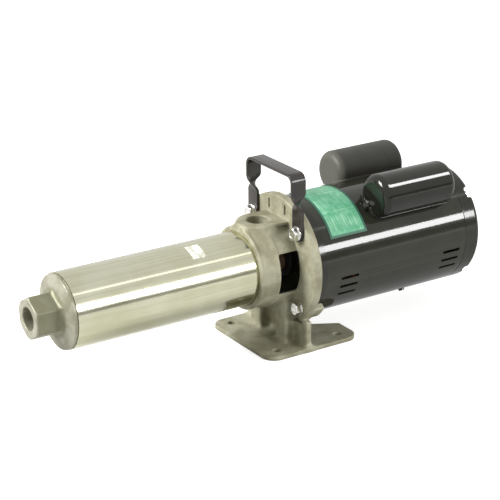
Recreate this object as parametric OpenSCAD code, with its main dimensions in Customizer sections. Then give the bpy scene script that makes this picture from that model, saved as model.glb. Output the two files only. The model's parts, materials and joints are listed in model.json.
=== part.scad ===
// Horizontal multistage booster pump: a close-coupled electric motor, a cast suction
// bracket on its own foot, and a stainless shell that holds a stack of pump stages.
// X runs along the shaft towards the motor, Y across and Z up. The origin lies on the
// floor, in the middle of the four foot holes.

/* [Layout] */
// Height of the shaft axis above the floor
axis_h = 110; // [104:1:125]
// Radial gap of a fixed spigot in its bore
seat_gap = 0.05; // [0.02:0.01:0.1]
// Gap between a turning piece and a fixed one
run_gap = 0.3; // [0.2:0.05:0.5]
// Radial clearance of a journal in its bearing
journal_gap = 0.05; // [0.02:0.01:0.09]

/* [Foot] */
// Length of the foot plate along the shaft
foot_l = 146; // [136:1:156]
// Width of the foot plate
foot_w = 150; // [144:1:160]
// Thickness of the foot plate
foot_t = 6; // [5:0.5:8]
// Radius of the foot plate's corners
foot_corner_r = 20; // [14:1:24]
// Spacing of the foot holes along the shaft
foot_hole_x = 98; // [92:1:102]
// Spacing of the foot holes across the shaft
foot_hole_y = 110; // [104:1:114]
// Radius of a foot hole
foot_hole_r = 5.5; // [4.5:0.5:6.5]
// Depth of the swallow-tail notch under the motor
notch_depth = 42; // [36:1:46]
// Half width of the notch at the edge
notch_half_w = 27; // [22:1:32]

/* [Bracket casting] */
// How far the motor flange stands out round the motor
flange_rim = 8.7; // [7:0.1:10]
// Thickness of the motor flange
flange_t = 12; // [10:0.5:14]
// Distance from the bolt circle in to the outside of the open cage
cage_inset = 16.6; // [14:0.1:17.5]
// Length of the open cage, which is the length of its side windows
cage_l = 32; // [30:1:36]
// Wall of the cage
cage_wall = 4; // [3:0.5:4.5]
// Half angle of a side window, measured on the cage
window_half_angle = 29; // [24:1:32]
// Length of the wet end of the casting
barrel_l = 29; // [28:1:34]
// Depth of the socket that takes the shell
socket_depth = 10; // [9:0.5:12]
// Wall round the shell socket
socket_wall = 5; // [4:0.5:6.5]
// Thickness of the wall between the wet and the dry side
seal_wall_t = 5; // [4.5:0.5:6]
// Height of the suction port's face above the shaft axis
suction_h = 61.5; // [60:0.5:66]
// Radius of the suction boss
boss_r = 29; // [27:0.5:31]
// Radius of both pipe ports, bored for a 1 inch pipe thread
port_r = 15.2; // [14:0.1:15.5]
// Distance from the outside of the motor in to the bolt circle of its face
bolt_inset = 6.7; // [6:0.1:8]

/* [Pedestal] */
// Thickness of the cross wall under the flange
cross_wall_t = 8; // [6:0.5:9]
// Half width of the cross wall
cross_half_w = 74; // [70:0.5:74.5]
// Height of the cross wall's shoulders above the floor
shoulder_h = 42; // [38:1:46]
// Thickness of a leg across the shaft
leg_t = 24; // [18:1:26]
// How far the legs stand in front of the flange
leg_depth = 15; // [12:1:18]

/* [Shell and stages] */
// Outside radius of the stainless shell
shell_r = 50; // [48:0.5:52]
// Wall of the stainless shell
shell_wall = 2; // [1.5:0.25:2.5]
// Length of one pump stage
stage_l = 30; // [29:0.5:33]
// Wall of a diffuser bowl
bowl_wall = 2.5; // [2:0.25:3]
// Radius of an impeller
impeller_r = 38; // [35:0.5:39]
// Radius of an impeller's eye
eye_r = 17; // [16:0.5:18]
// Number of vanes in an impeller
impeller_vanes = 6; // [5:1:7]
// Number of return vanes in a diffuser
return_vanes = 7; // [6:1:9]
// Thickness of a vane
vane_t = 1.6; // [1.4:0.1:2]
// Width across the flats of the stage shaft
hex_shaft_flats = 12; // [11:0.5:13]

/* [Discharge head] */
// Width across the flats of the discharge hexagon
hex_flats = 50; // [46:1:54]
// Length of the discharge hexagon
hex_l = 35; // [30:1:40]
// Height of the cone between the hexagon and the rim
cone_l = 5.5; // [4:0.5:8]
// Thickness of the rim that closes the shell
head_rim_t = 4.5; // [4:0.5:6]
// Length of the plug inside the shell
plug_l = 16; // [14:1:20]

/* [Motor] */
// Outside radius of the motor shell
motor_r = 81.3; // [79.5:0.1:82]
// Wall of the motor shell
motor_wall = 1.6; // [1.2:0.1:2]
// Length of the front end bell's rim
front_rim_l = 14; // [12:1:16]
// Room between the front end bell and the stator
front_room = 78; // [72:1:84]
// Length of the stator core
stator_l = 76; // [70:1:82]
// Room between the stator and the rear end bell
rear_room = 78.5; // [76:0.5:84]
// Length of the rear end bell
rear_bell_l = 25.5; // [25:0.5:30]
// Thickness of the stator core's ring
stator_t = 35.15; // [33:0.05:37]
// Gap between the rotor and the stator
air_gap = 0.5; // [0.4:0.05:0.8]
// Radius of the motor shaft at the coupling
shaft_r = 8; // [7.5:0.1:8.3]
// Length of a vent slot
vent_l = 29; // [24:1:32]
// Width of a vent slot
vent_w = 4; // [3:0.5:5]
// Angle between two vent slots
vent_step = 9.3; // [8:0.1:11]

/* [Capacitor covers] */
// Outside radius of a capacitor cover
cover_r = 29.9; // [28:0.1:31]
// Length of a capacitor cover
cover_l = 120; // [112:1:126]
// Distance from the motor's surface to the axis of a cover
cover_rise = 18.6; // [16:0.1:20]
// Angle of a cover from the top of the motor
cover_angle = 35.4; // [33:0.2:38]
// Distance from the rear end bell to the nearest tab of a cover
cover_end_gap = 13.5; // [8:0.5:18]
// Wall of a capacitor cover
cover_wall = 1.4; // [1:0.1:2]
// Radius of a cover's rounded ends
cover_corner_r = 7; // [5:0.5:12]

/* [Nameplate] */
// Length of the nameplate along the motor
plate_l = 59; // [50:1:60]
// Gap between the nameplate and the nearest tab of a cover
plate_gap = 8; // [4:0.5:12]
// Angle from the horizontal to the nameplate's lower edge
plate_low_angle = 30.5; // [26:0.5:36]
// Angle that the nameplate spans round the motor
plate_span = 80; // [60:1:90]
// Thickness of the nameplate
plate_t = 0.6; // [0.5:0.1:1]

/* [Carrying handle] */
// Length of the straight leg between the twist and the bend
handle_leg_l = 14.6; // [8:0.2:24]
// Width of the handle's strap
strap_w = 22.5; // [21:0.5:26]
// Thickness of the handle's strap
strap_t = 4; // [3:0.5:5]
// Outside radius of the handle's bends
bend_r = 12; // [8:1:16]
// Length of the quarter twist in each leg
twist_l = 24; // [20:1:28]
// Gap between the edge of the flange and the twist above it
twist_gap = 2.8; // [1.5:0.1:6]

/* [Hidden] */
$fn = 64;
stage_count = 8;

// Colours
cast_grey = [0.66, 0.65, 0.56];
stainless = [0.80, 0.78, 0.70];
bright_steel = [0.75, 0.75, 0.74];
black_paint = [0.10, 0.10, 0.10];
stage_plastic = [0.85, 0.83, 0.76];
rubber_black = [0.06, 0.06, 0.06];
copper = [0.72, 0.40, 0.22];
plate_green = [0.42, 0.74, 0.60];

// How far a cut runs past the face it opens
overrun = 1;
// How far two shapes of one piece run into each other
bite = 0.4;

// Stations along the shaft, from the motor face at zero
inlet_plate_t = 4;
spider_l = 12;
x_flange = -flange_t;
x_cage = x_flange - cage_l;
x_rim = x_cage - barrel_l;
x_seat = x_rim + socket_depth;
x_stack = x_seat - inlet_plate_t;
x_stack_end = x_stack - stage_count * stage_l;
x_plug = x_stack_end - spider_l;
x_shell = x_plug - plug_l;
x_hex = x_shell - head_rim_t - cone_l - hex_l;
x_stator = front_rim_l + front_room;
x_stator_end = x_stator + stator_l;
x_shell_end = x_stator_end + rear_room;
x_motor_end = x_shell_end + rear_bell_l;

// Sizes that follow the motor
bolt_circle_r = motor_r - bolt_inset;
flange_r = motor_r + flange_rim;
cage_r = bolt_circle_r - cage_inset;
bolt_y = bolt_circle_r * sin(45);
washer_r = 10;

// Bracket casting
rim_r = shell_r + socket_wall;
rim_chamfer = 1.2;
bead_l = 4;
bead_step = 1.5;
bead_r = rim_r + bead_step;
seat_step = 3;
chamber_r = shell_r - shell_wall - seat_step;
seat_bore_r = 18;
seat_lip_t = 1.5;
seat_lip_r = 14;
pilot_inset = 24.15;
pilot_r = motor_r - pilot_inset;
pilot_l = 4;
window_half_h = cage_r * sin(window_half_angle);
window_corner_r = 4;
port_offset = 2;
port_thread_l = 16;
port_relief = 1.2;
port_x = x_cage + port_offset;
port_wall = 4;
port_floor_gap = 1;
port_floor_h = window_half_h + port_floor_gap + port_wall;
boss_edge = 2;
boss_web_w = 2 * boss_r - boss_edge;
bolt_hole_r = 5.3;
boss_flare = 7;
boss_flare_h = 18;
leg_washer_gap = 0.75;
leg_outer_y = bolt_y - washer_r - leg_washer_gap;
leg_inner_y = leg_outer_y - leg_t;
foot_fillet_r = 9;
wall_fillet_r = 5;
cage_fillet_r = 5;
cradle_t = 5.5;
cradle_l = 16;
cradle_start = 38;
cradle_span = 24;
notch_r = 8;
face_slot_y = 18.5;
face_slot_w = 3;
face_slot_gap = 5.5;
face_slot_edge = 9;
face_slot_low = suction_h + face_slot_gap;
face_slot_l = flange_r - face_slot_edge - face_slot_low;
cutout_land = 12;
cutout_tip_h = 4;

// Shell and stages
bowl_r = shell_r - shell_wall - 2 * seat_gap;
bowl_inner_r = bowl_r - bowl_wall;
back_plate_t = 3;
partition_t = 3;
partition_h = 14;
return_gap = 4.4;
partition_r = bowl_inner_r - return_gap;
return_vane_sweep = 50;
impeller_vane_sweep = 75;
blade_curve_share = 0.7;
hub_r = 9;
shroud_t = 1.5;
shroud_gap = 1.5;
eye_gap = 1;
neck_r = eye_r - run_gap;
neck_wall = 3.4;
neck_l = back_plate_t - run_gap;
hex_bore_flats = hex_shaft_flats + 2 * seat_gap;
o_ring_r = 1.7;
groove_w = 4;
groove_depth = 2 * (o_ring_r + seat_gap);
spider_ring_w = 4;
spider_arm_w = 5;
bushing_r = 12;
spider_hub_r = 16;
funnel_r = 35;
nut_flats = 19;
nut_l = 8;
shaft_tip = 2;

// Seal, coupling and slinger
seal_r = 15;
seal_l = 11;
seal_seat_l = 4.5;
coupling_r = 17;
coupling_l = 30;
coupling_gap = 4;
coupling_x = x_cage + coupling_gap;
x_shaft_joint = coupling_x + coupling_l / 2;
set_screw_r = 3;
shaft_end_gap = 0.5;
slinger_r = 24;
slinger_t = 3;
slinger_x = coupling_x + coupling_l + slinger_t;
seal_x = x_cage - seat_lip_t - seal_seat_l;

// Motor
spigot_l = 6;
bell_wall = 5;
bell_face_t = 8;
hub_wall = 6;
bearing_r = 20;
bearing_bore_r = 8.5;
bearing_w = 12;
race_r = 12.3;
front_bearing_inset = 16;
x_front_bearing = front_bearing_inset;
rear_bearing_inset = 3.5;
x_rear_bearing = x_shell_end + rear_bearing_inset;
bell_boss_r = 9;
bell_boss_l = 26;
thread_r = 4.76;
thread_depth = 12.5;
through_r = 2.4;
through_head_r = 4.6;
through_head_l = 4;
through_inset = 9;
pocket_r = 9.5;
pocket_wall = 2.5;
core_shaft_r = 12;
body_shaft_r = 10;
slot_count = 18;
slot_w = 6;
core_back_t = 15.15;
slot_depth = stator_t - core_back_t;
rotor_r = motor_r - motor_wall - seat_gap - stator_t - air_gap;
slot_fill_gap = 0.4;
winding_gap = 2;
winding_w = 18;
winding_l = 22;
winding_corner_r = 8;
end_ring_l = 10;
end_ring_w = 13;
blade_count = 9;
blade_l = 14;
blade_t = 2.5;
blade_inset = 2;
rotor_end_inset = 1;
plate_post_r = 4;
switch_plate_inset = 18.6;
switch_plate_r = bolt_circle_r - switch_plate_inset;
plate_post_offset = switch_plate_r - 2 * plate_post_r;
switch_plate_t = 2;
x_switch = x_shell_end - spigot_l - switch_plate_t;
governor_r = 28;
governor_l = 14;
collar_r = 24;
collar_sleeve_r = 13;
collar_l = 10;
collar_flange_t = 2.5;
collar_travel = 3;
switch_gap = 0.5;
x_collar = x_switch - switch_gap - collar_l;
weight_place_share = 0.75;
weight_width_share = 0.35;
weight_height_share = 0.8;
washer_spring_t = 1;
washer_inner_gap = 2;
edge_r = 6;
terminal_inset = 14.6;
terminal_r = bolt_circle_r - terminal_inset;
terminal_t = 1.5;
terminal_half_angle = 55;
terminal_screw_inset = 10;
screw_r = 2;
screw_head_r = 4;
screw_head_l = 2.5;
front_vent_inset = 23;
rear_vent_inset = 9.5;
front_vent_x = front_rim_l + front_vent_inset;
rear_vent_x = x_shell_end - rear_vent_inset - vent_l;
vent_count = 3;
vent_start = 9.5;
inlet_hole_r = 8;
inlet_rim_r = 10;
inlet_land = 1.2;
inlet_x = x_shell_end + inlet_rim_r + inlet_land;
inlet_plug_t = 2.5;
ground_screw_angle = 155;
ground_screw_inset = 5;
ground_screw_x = x_stator_end + ground_screw_inset;

// Capacitors and their covers
tab_l = 10;
tab_w = 14;
cover_x = x_shell_end - cover_end_gap - tab_l - cover_l;
cover_offset = motor_r + cover_rise;
plate_x = cover_x - tab_l - plate_gap - plate_l;
capacitor_r = 22;
capacitor_l = 92;
terminal_blade_l = 6;
terminal_blade_w = 6.3;

// Handle and bolts
washer_t = 1.5;
bolt_flats = 16;
bolt_head_l = 7;
strap_x = x_flange - strap_t / 2;
flange_edge_h = sqrt(pow(flange_r, 2) - pow(bolt_y - strap_w / 2, 2));
twist_low = flange_edge_h + twist_gap;
handle_h = twist_low + twist_l + handle_leg_l + bend_r;

// Places a shape drawn upwards so that it runs along the shaft from a station
module along_shaft(x) translate([x, 0, axis_h]) rotate([0, 90, 0]) children();

// Turns a shape about the shaft axis, where an angle of zero is the top
module about_shaft(angle) translate([0, 0, axis_h]) rotate([angle, 0, 0]) children();

module tube(outer, inner, length) difference() {
    cylinder(r = outer, h = length);
    translate([0, 0, -overrun]) cylinder(r = inner, h = length + 2 * overrun);
}

module hex_prism(flats, length) cylinder(r = flats / sqrt(3), h = length, $fn = 6);

// A flat plate on the floor with four round corners
module rounded_plate(length, width, corner, thickness) union() {
    translate([-length / 2, corner - width / 2, 0]) cube([length, width - 2 * corner, thickness]);
    translate([corner - length / 2, -width / 2, 0]) cube([length - 2 * corner, width, thickness]);
    for (sx = [-1, 1], sy = [-1, 1])
        translate([sx * (length / 2 - corner), sy * (width / 2 - corner), 0])
            cylinder(r = corner, h = thickness);
}

// Centre of the circle of radius rho through two points, on the left of the way from p to q
function arc_centre(p, q, rho) =
    let (d = norm(q - p), left = [p[1] - q[1], q[0] - p[0]] / d)
    (p + q) / 2 + left * sqrt(rho * rho - d * d / 4);

// A curved blade from point p to point q, standing on the plane
module curved_blade(p, q, rho, thickness, height) {
    c = arc_centre(p, q, rho);
    a = atan2(p[1] - c[1], p[0] - c[0]);
    b = atan2(q[1] - c[1], q[0] - c[0]);
    sweep = b < a ? b - a + 360 : b - a;
    translate([c[0], c[1], 0]) rotate([0, 0, a]) rotate_extrude(angle = sweep)
        translate([rho - thickness / 2, 0]) square([thickness, height]);
}

// Suction bracket: one casting from the shell socket to the motor flange and the foot

module barrel() rotate_extrude() polygon([
    [0, 0], [bead_r - rim_chamfer, 0], [bead_r, rim_chamfer], [bead_r, bead_l],
    [rim_r, bead_l + bead_step], [cage_r, barrel_l], [0, barrel_l]
]);

// The boss flares out where it meets the barrel and the cage
module suction_boss() {
    translate([port_x, 0, axis_h]) rotate_extrude() polygon([
        [0, 0], [boss_r, 0], [boss_r, suction_h - boss_edge],
        [boss_r - boss_edge, suction_h], [0, suction_h]
    ]);
    intersection() {
        translate([port_x, 0, axis_h]) rotate_extrude() polygon([
            [0, 0], [boss_r + 2 * boss_flare, 0],
            [boss_r + boss_flare, suction_h - 2 * boss_flare_h],
            [boss_r + boss_flare / 3, suction_h - boss_flare_h], [boss_r, suction_h - boss_flare_h / 2],
            [0, suction_h - boss_flare_h / 2]
        ]);
        translate([x_rim + bead_l + bead_step, -cage_r, axis_h])
            cube([x_flange - x_rim - bead_l, 2 * cage_r, suction_h]);
    }
    translate([port_x, -boss_web_w / 2, axis_h])
        cube([x_flange + bite - port_x, boss_web_w, suction_h - boss_edge]);
}

// The hollow side of a round fillet, in the corner between two walls
module fillet_section(radius) difference() {
    translate([-bite, -bite]) square(radius + bite);
    translate([radius, radius]) circle(r = radius);
}

module cage_fillet() along_shaft(x_flange) rotate_extrude() translate([cage_r, 0])
    mirror([0, 1]) fillet_section(cage_fillet_r);

// Fillets where the legs and the cross wall stand on the foot plate
module foot_fillets() {
    for (side = [0, 1]) mirror([0, side, 0]) translate([x_flange - leg_depth, 0, foot_t]) {
        translate([0, leg_outer_y, 0]) rotate([90, 0, 90]) linear_extrude(leg_depth)
            fillet_section(foot_fillet_r);
        translate([0, leg_inner_y, 0]) rotate([90, 0, 90]) linear_extrude(leg_depth)
            mirror([1, 0]) fillet_section(foot_fillet_r);
        translate([0, leg_inner_y, 0]) rotate([90, 0, 0]) mirror([0, 0, 1]) linear_extrude(leg_t)
            mirror([1, 0]) fillet_section(foot_fillet_r);
    }
    translate([x_flange + cross_wall_t, -notch_half_w - cutout_land, foot_t]) rotate([90, 0, 0])
        mirror([0, 0, 1]) linear_extrude(2 * (notch_half_w + cutout_land))
            fillet_section(wall_fillet_r);
}

module pedestal() {
    translate([x_flange, -cross_half_w, foot_t - bite])
        cube([cross_wall_t, 2 * cross_half_w, shoulder_h - foot_t + bite]);
    for (side = [-1, 1])
        translate([x_flange - leg_depth, side > 0 ? leg_inner_y : -leg_outer_y, foot_t - bite])
            cube([leg_depth + bite, leg_outer_y - leg_inner_y, axis_h - foot_t - cage_r / 2]);
}

module motor_cradle() for (side = [-1, 1])
    along_shaft(-bite) rotate([0, 0, side > 0 ? cradle_start : -cradle_start - cradle_span])
        rotate_extrude(angle = cradle_span) translate([flange_r - cradle_t - bite, 0])
            square([cradle_t, cradle_l + bite]);

module foot_notch() translate([foot_l / 2, 0, -overrun]) linear_extrude(foot_t + 2 * overrun) union() {
    polygon([
        [overrun, -notch_half_w], [overrun, notch_half_w],
        [notch_r - notch_depth, notch_r], [notch_r - notch_depth, -notch_r]
    ]);
    translate([notch_r - notch_depth, 0]) circle(r = notch_r);
}

// The suction port comes down into an elbow, which opens into the wet chamber
module suction_port_bore() translate([port_x, 0, axis_h]) {
    translate([0, 0, suction_h - port_thread_l]) cylinder(r = port_r, h = port_thread_l + overrun);
    translate([0, 0, port_floor_h]) cylinder(r = port_r - port_relief, h = suction_h - port_floor_h);
}

// The dry space round the coupling, with the foot of the suction port standing into it
module dry_chamber() difference() {
    along_shaft(x_cage) cylinder(r = cage_r - cage_wall, h = cage_l + flange_t + overrun);
    translate([port_x, 0, axis_h + port_floor_h - port_wall])
        cylinder(r = port_r + port_wall, h = cage_r);
}

module side_windows() translate([x_cage + cage_l / 2, cage_r + overrun, axis_h]) rotate([90, 0, 0])
    rounded_plate(cage_l, 2 * window_half_h, window_corner_r, 2 * (cage_r + overrun));

module face_slots() for (side = [-1, 1])
    translate([x_flange - overrun, side * face_slot_y - face_slot_w / 2, axis_h + face_slot_low])
        cube([flange_t + 2 * overrun, face_slot_w, face_slot_l]);

// The three-cornered openings that lighten the cross wall beside the legs
module wall_cutouts() for (side = [0, 1]) mirror([0, side, 0])
    translate([x_flange - overrun, 0, 0]) rotate([90, 0, 90])
    linear_extrude(flange_t + 2 * overrun) polygon([
        [leg_outer_y, axis_h - bolt_y - washer_r], [leg_outer_y, shoulder_h - cutout_land / 2],
        [cross_half_w - cutout_land, shoulder_h - cutout_tip_h]
    ]);

module suction_bracket() color(cast_grey) difference() {
    union() {
        along_shaft(x_rim) barrel();
        along_shaft(x_cage - bite) cylinder(r = cage_r, h = cage_l + 2 * bite);
        along_shaft(x_flange) cylinder(r = flange_r, h = flange_t);
        cage_fillet();
        suction_boss();
        pedestal();
        foot_fillets();
        motor_cradle();
        rounded_plate(foot_l, foot_w, foot_corner_r, foot_t);
    }
    along_shaft(x_rim - overrun) cylinder(r = shell_r + seat_gap, h = socket_depth + overrun);
    along_shaft(x_rim + socket_depth / 2 - groove_w / 2)
        cylinder(r = shell_r + seat_gap + groove_depth, h = groove_w);
    along_shaft(x_seat - overrun) cylinder(r = chamber_r, h = x_cage - seal_wall_t - x_seat + overrun);
    along_shaft(x_cage - seal_wall_t - overrun)
        cylinder(r = seat_bore_r, h = seal_wall_t - seat_lip_t + overrun);
    along_shaft(x_cage - seal_wall_t) cylinder(r = seat_lip_r, h = seal_wall_t + overrun);
    dry_chamber();
    side_windows();
    along_shaft(-pilot_l) cylinder(r = pilot_r + seat_gap, h = pilot_l + overrun);
    suction_port_bore();
    face_slots();
    wall_cutouts();
    for (a = [45 : 90 : 315])
        about_shaft(a) translate([x_flange - overrun, 0, bolt_circle_r]) rotate([0, 90, 0])
            cylinder(r = bolt_hole_r, h = flange_t + 2 * overrun);
    for (sx = [-1, 1], sy = [-1, 1])
        translate([sx * foot_hole_x / 2, sy * foot_hole_y / 2, -overrun])
            cylinder(r = foot_hole_r, h = foot_t + 2 * overrun);
    foot_notch();
}

// Shell, head and stages

module shell_tube() color(stainless)
    along_shaft(x_shell) tube(shell_r, shell_r - shell_wall, x_seat - x_shell);

module discharge_head() color(cast_grey) along_shaft(x_hex) difference() {
    union() {
        hex_prism(hex_flats, hex_l + bite);
        translate([0, 0, hex_l]) rotate_extrude() polygon([
            [0, 0], [hex_flats / sqrt(3) + rim_chamfer, 0], [shell_r - 3 * rim_chamfer, cone_l],
            [shell_r - 2 * rim_chamfer, cone_l], [shell_r - rim_chamfer, cone_l + rim_chamfer],
            [shell_r - rim_chamfer, cone_l + head_rim_t], [0, cone_l + head_rim_t]
        ]);
        translate([0, 0, hex_l + cone_l + head_rim_t - bite])
            cylinder(r = shell_r - shell_wall - seat_gap, h = plug_l + bite);
    }
    translate([0, 0, -overrun]) cylinder(r = port_r, h = port_thread_l + overrun);
    cylinder(r = port_r - port_relief, h = hex_l + cone_l + overrun);
    translate([0, 0, hex_l + cone_l])
        cylinder(r1 = port_r - port_relief, r2 = funnel_r, h = head_rim_t + plug_l + overrun);
    translate([0, 0, hex_l + cone_l + head_rim_t + (plug_l - groove_w) / 2])
        tube(shell_r, shell_r - shell_wall - groove_depth, groove_w);
}

module o_ring(centre_r) rotate_extrude() translate([centre_r, 0]) circle(r = o_ring_r);

module head_o_ring() color(rubber_black)
    along_shaft(x_shell + plug_l / 2) o_ring(shell_r - shell_wall - groove_depth / 2);

module socket_o_ring() color(rubber_black)
    along_shaft(x_rim + socket_depth / 2) o_ring(shell_r + groove_depth / 2);

module inlet_plate() color(stainless) along_shaft(x_stack) tube(bowl_r, eye_r, inlet_plate_t);

// A diffuser bowl: its wall, the back plate with the next eye, the return vanes and the
// partition disc that they carry
module diffuser(number) color(stage_plastic) along_shaft(x_stack - number * stage_l) {
    tube(bowl_r, bowl_inner_r, stage_l);
    tube(bowl_inner_r + bite, eye_r, back_plate_t);
    translate([0, 0, partition_h]) tube(partition_r, hub_r + run_gap, partition_t);
    for (i = [0 : return_vanes - 1]) rotate([0, 0, i * 360 / return_vanes])
        translate([0, 0, back_plate_t - bite])
            curved_blade([eye_r + vane_t, 0],
                (bowl_inner_r + bite) * [cos(return_vane_sweep), sin(return_vane_sweep)],
                bowl_inner_r, vane_t, partition_h - back_plate_t + 2 * bite);
}

// A closed impeller: hub, back shroud, curved vanes, front shroud and the neck of its eye
module impeller(number) color(stage_plastic) along_shaft(x_stack - number * stage_l) {
    back = partition_h + partition_t + shroud_gap;
    front = stage_l - shroud_t - eye_gap;
    inner = neck_r - neck_wall;
    difference() {
        union() {
            cylinder(r = hub_r, h = stage_l);
            translate([0, 0, back]) cylinder(r = impeller_r, h = shroud_t);
            translate([0, 0, front]) tube(impeller_r, inner, shroud_t);
            translate([0, 0, front + shroud_t - bite]) tube(neck_r, inner, eye_gap + neck_l + bite);
            for (i = [0 : impeller_vanes - 1]) rotate([0, 0, i * 360 / impeller_vanes])
                translate([0, 0, back + shroud_t - bite])
                    curved_blade([inner + vane_t, 0],
                        (impeller_r - vane_t) * [cos(impeller_vane_sweep), sin(impeller_vane_sweep)],
                        impeller_r * blade_curve_share, vane_t, front - back - shroud_t + 2 * bite);
        }
        translate([0, 0, -overrun]) hex_prism(hex_bore_flats, stage_l + 2 * overrun);
    }
}

module impeller_1() impeller(1);
module impeller_2() impeller(2);
module impeller_3() impeller(3);
module impeller_4() impeller(4);
module impeller_5() impeller(5);
module impeller_6() impeller(6);
module impeller_7() impeller(7);
module impeller_8() impeller(8);
module diffuser_1() diffuser(1);
module diffuser_2() diffuser(2);
module diffuser_3() diffuser(3);
module diffuser_4() diffuser(4);
module diffuser_5() diffuser(5);
module diffuser_6() diffuser(6);
module diffuser_7() diffuser(7);
module diffuser_8() diffuser(8);

module bearing_spider() color(stainless) along_shaft(x_plug) {
    tube(bowl_r, bowl_r - spider_ring_w, spider_l);
    tube(spider_hub_r, bushing_r + seat_gap, spider_l);
    for (i = [0 : 3]) rotate([0, 0, i * 90]) translate([spider_hub_r - bite, -spider_arm_w / 2, 0])
        cube([bowl_r - spider_ring_w - spider_hub_r + 2 * bite, spider_arm_w, spider_l]);
}

module shaft_bushing() color(rubber_black)
    along_shaft(x_plug) tube(bushing_r, hub_r + journal_gap, spider_l);

module journal_sleeve() color(bright_steel) along_shaft(x_plug) difference() {
    cylinder(r = hub_r, h = spider_l);
    translate([0, 0, -overrun]) hex_prism(hex_bore_flats, spider_l + 2 * overrun);
}

module shaft_nut() color(bright_steel) along_shaft(x_plug - nut_l) difference() {
    hex_prism(nut_flats, nut_l);
    translate([0, 0, -overrun])
        cylinder(r = hex_shaft_flats / sqrt(3) + seat_gap, h = nut_l + 2 * overrun);
}

module pump_shaft() color(bright_steel) {
    along_shaft(x_plug - nut_l - shaft_tip)
        hex_prism(hex_shaft_flats, x_stack - x_plug + nut_l + shaft_tip + bite);
    along_shaft(x_stack) cylinder(r = shaft_r, h = x_shaft_joint - x_stack - shaft_end_gap);
}

// Seal, coupling and slinger

module seal_seat() color([0.86, 0.84, 0.80])
    along_shaft(seal_x) tube(seat_bore_r - seat_gap, shaft_r + run_gap, seal_seat_l);

module seal_head() color(rubber_black) along_shaft(seal_x - journal_gap - seal_l) difference() {
    union() {
        cylinder(r = seal_r, h = seal_l - seal_seat_l / 2);
        cylinder(r = seal_r - seat_lip_t, h = seal_l);
    }
    translate([0, 0, -overrun]) cylinder(r = shaft_r + seat_gap, h = seal_l + 2 * overrun);
}

module coupling() color([0.36, 0.27, 0.20]) along_shaft(coupling_x) difference() {
    tube(coupling_r, shaft_r + seat_gap, coupling_l);
    for (z = [coupling_l / 4, coupling_l * 3 / 4]) translate([0, 0, z]) rotate([0, 90, 0])
        cylinder(r = set_screw_r + seat_gap, h = coupling_r + overrun);
}

module coupling_screws() color(black_paint) along_shaft(coupling_x)
    for (z = [coupling_l / 4, coupling_l * 3 / 4]) translate([shaft_r + seat_gap, 0, z])
        rotate([0, 90, 0]) cylinder(r = set_screw_r, h = coupling_r - shaft_r - overrun);

module slinger() color(rubber_black)
    along_shaft(slinger_x) tube(slinger_r, shaft_r + seat_gap, slinger_t);

// Handle and bolts

module handle_leg() {
    drop = handle_h - bend_r;
    translate([-strap_w / 2, -strap_t / 2, twist_low + twist_l - bite])
        cube([strap_w, strap_t, drop - twist_low - twist_l + 2 * bite]);
    translate([0, 0, twist_low]) linear_extrude(height = twist_l, twist = -90, slices = 12, segments = 12)
        square([strap_t, strap_w], center = true);
    translate([-strap_t / 2, -strap_w / 2, bolt_y])
        cube([strap_t, strap_w, twist_low - bolt_y + bite]);
    translate([-strap_t / 2, 0, bolt_y]) rotate([0, 90, 0]) cylinder(r = strap_w / 2, h = strap_t);
}

// The strap's rounded bend: a quarter ring swept across the strap's width
module handle_bend() translate([-strap_w / 2, strap_t / 2 - bend_r, handle_h - bend_r])
    rotate([90, 0, 90]) rotate_extrude(angle = 90)
        translate([bend_r - strap_t, 0]) square([strap_t, strap_w]);

module carrying_handle() color(black_paint) translate([strap_x, 0, axis_h]) difference() {
    union() {
        for (side = [0, 1]) mirror([0, side, 0]) translate([0, bolt_y, 0]) {
            handle_leg();
            handle_bend();
        }
        translate([-strap_w / 2, -bolt_y - strap_t / 2 + bend_r - bite, handle_h - strap_t])
            cube([strap_w, 2 * (bolt_y + strap_t / 2 - bend_r + bite), strap_t]);
    }
    for (side = [-1, 1]) translate([-strap_t, side * bolt_y, bolt_y]) rotate([0, 90, 0])
        cylinder(r = bolt_hole_r, h = 2 * strap_t);
}

// Seat of a flange bolt's washer: the handle's tab at the top, the flange below
function bolt_seat(angle) = cos(angle) > 0 ? x_flange - strap_t : x_flange;

module flange_bolts() color(bright_steel) for (a = [45 : 90 : 315])
    about_shaft(a) translate([bolt_seat(a) - washer_t - bolt_head_l, 0, bolt_circle_r])
        rotate([0, 90, 0]) {
            hex_prism(bolt_flats, bolt_head_l);
            cylinder(r = thread_r, h = bolt_head_l + washer_t - bolt_seat(a) + thread_depth - overrun);
        }

module flange_washers() color(bright_steel) for (a = [45 : 90 : 315])
    about_shaft(a) translate([bolt_seat(a) - washer_t, 0, bolt_circle_r])
        rotate([0, 90, 0]) tube(washer_r, bolt_hole_r, washer_t);

// Motor

module at_bolt(angle, x) about_shaft(angle) translate([x, 0, bolt_circle_r]) rotate([0, 90, 0])
    children();

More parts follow.
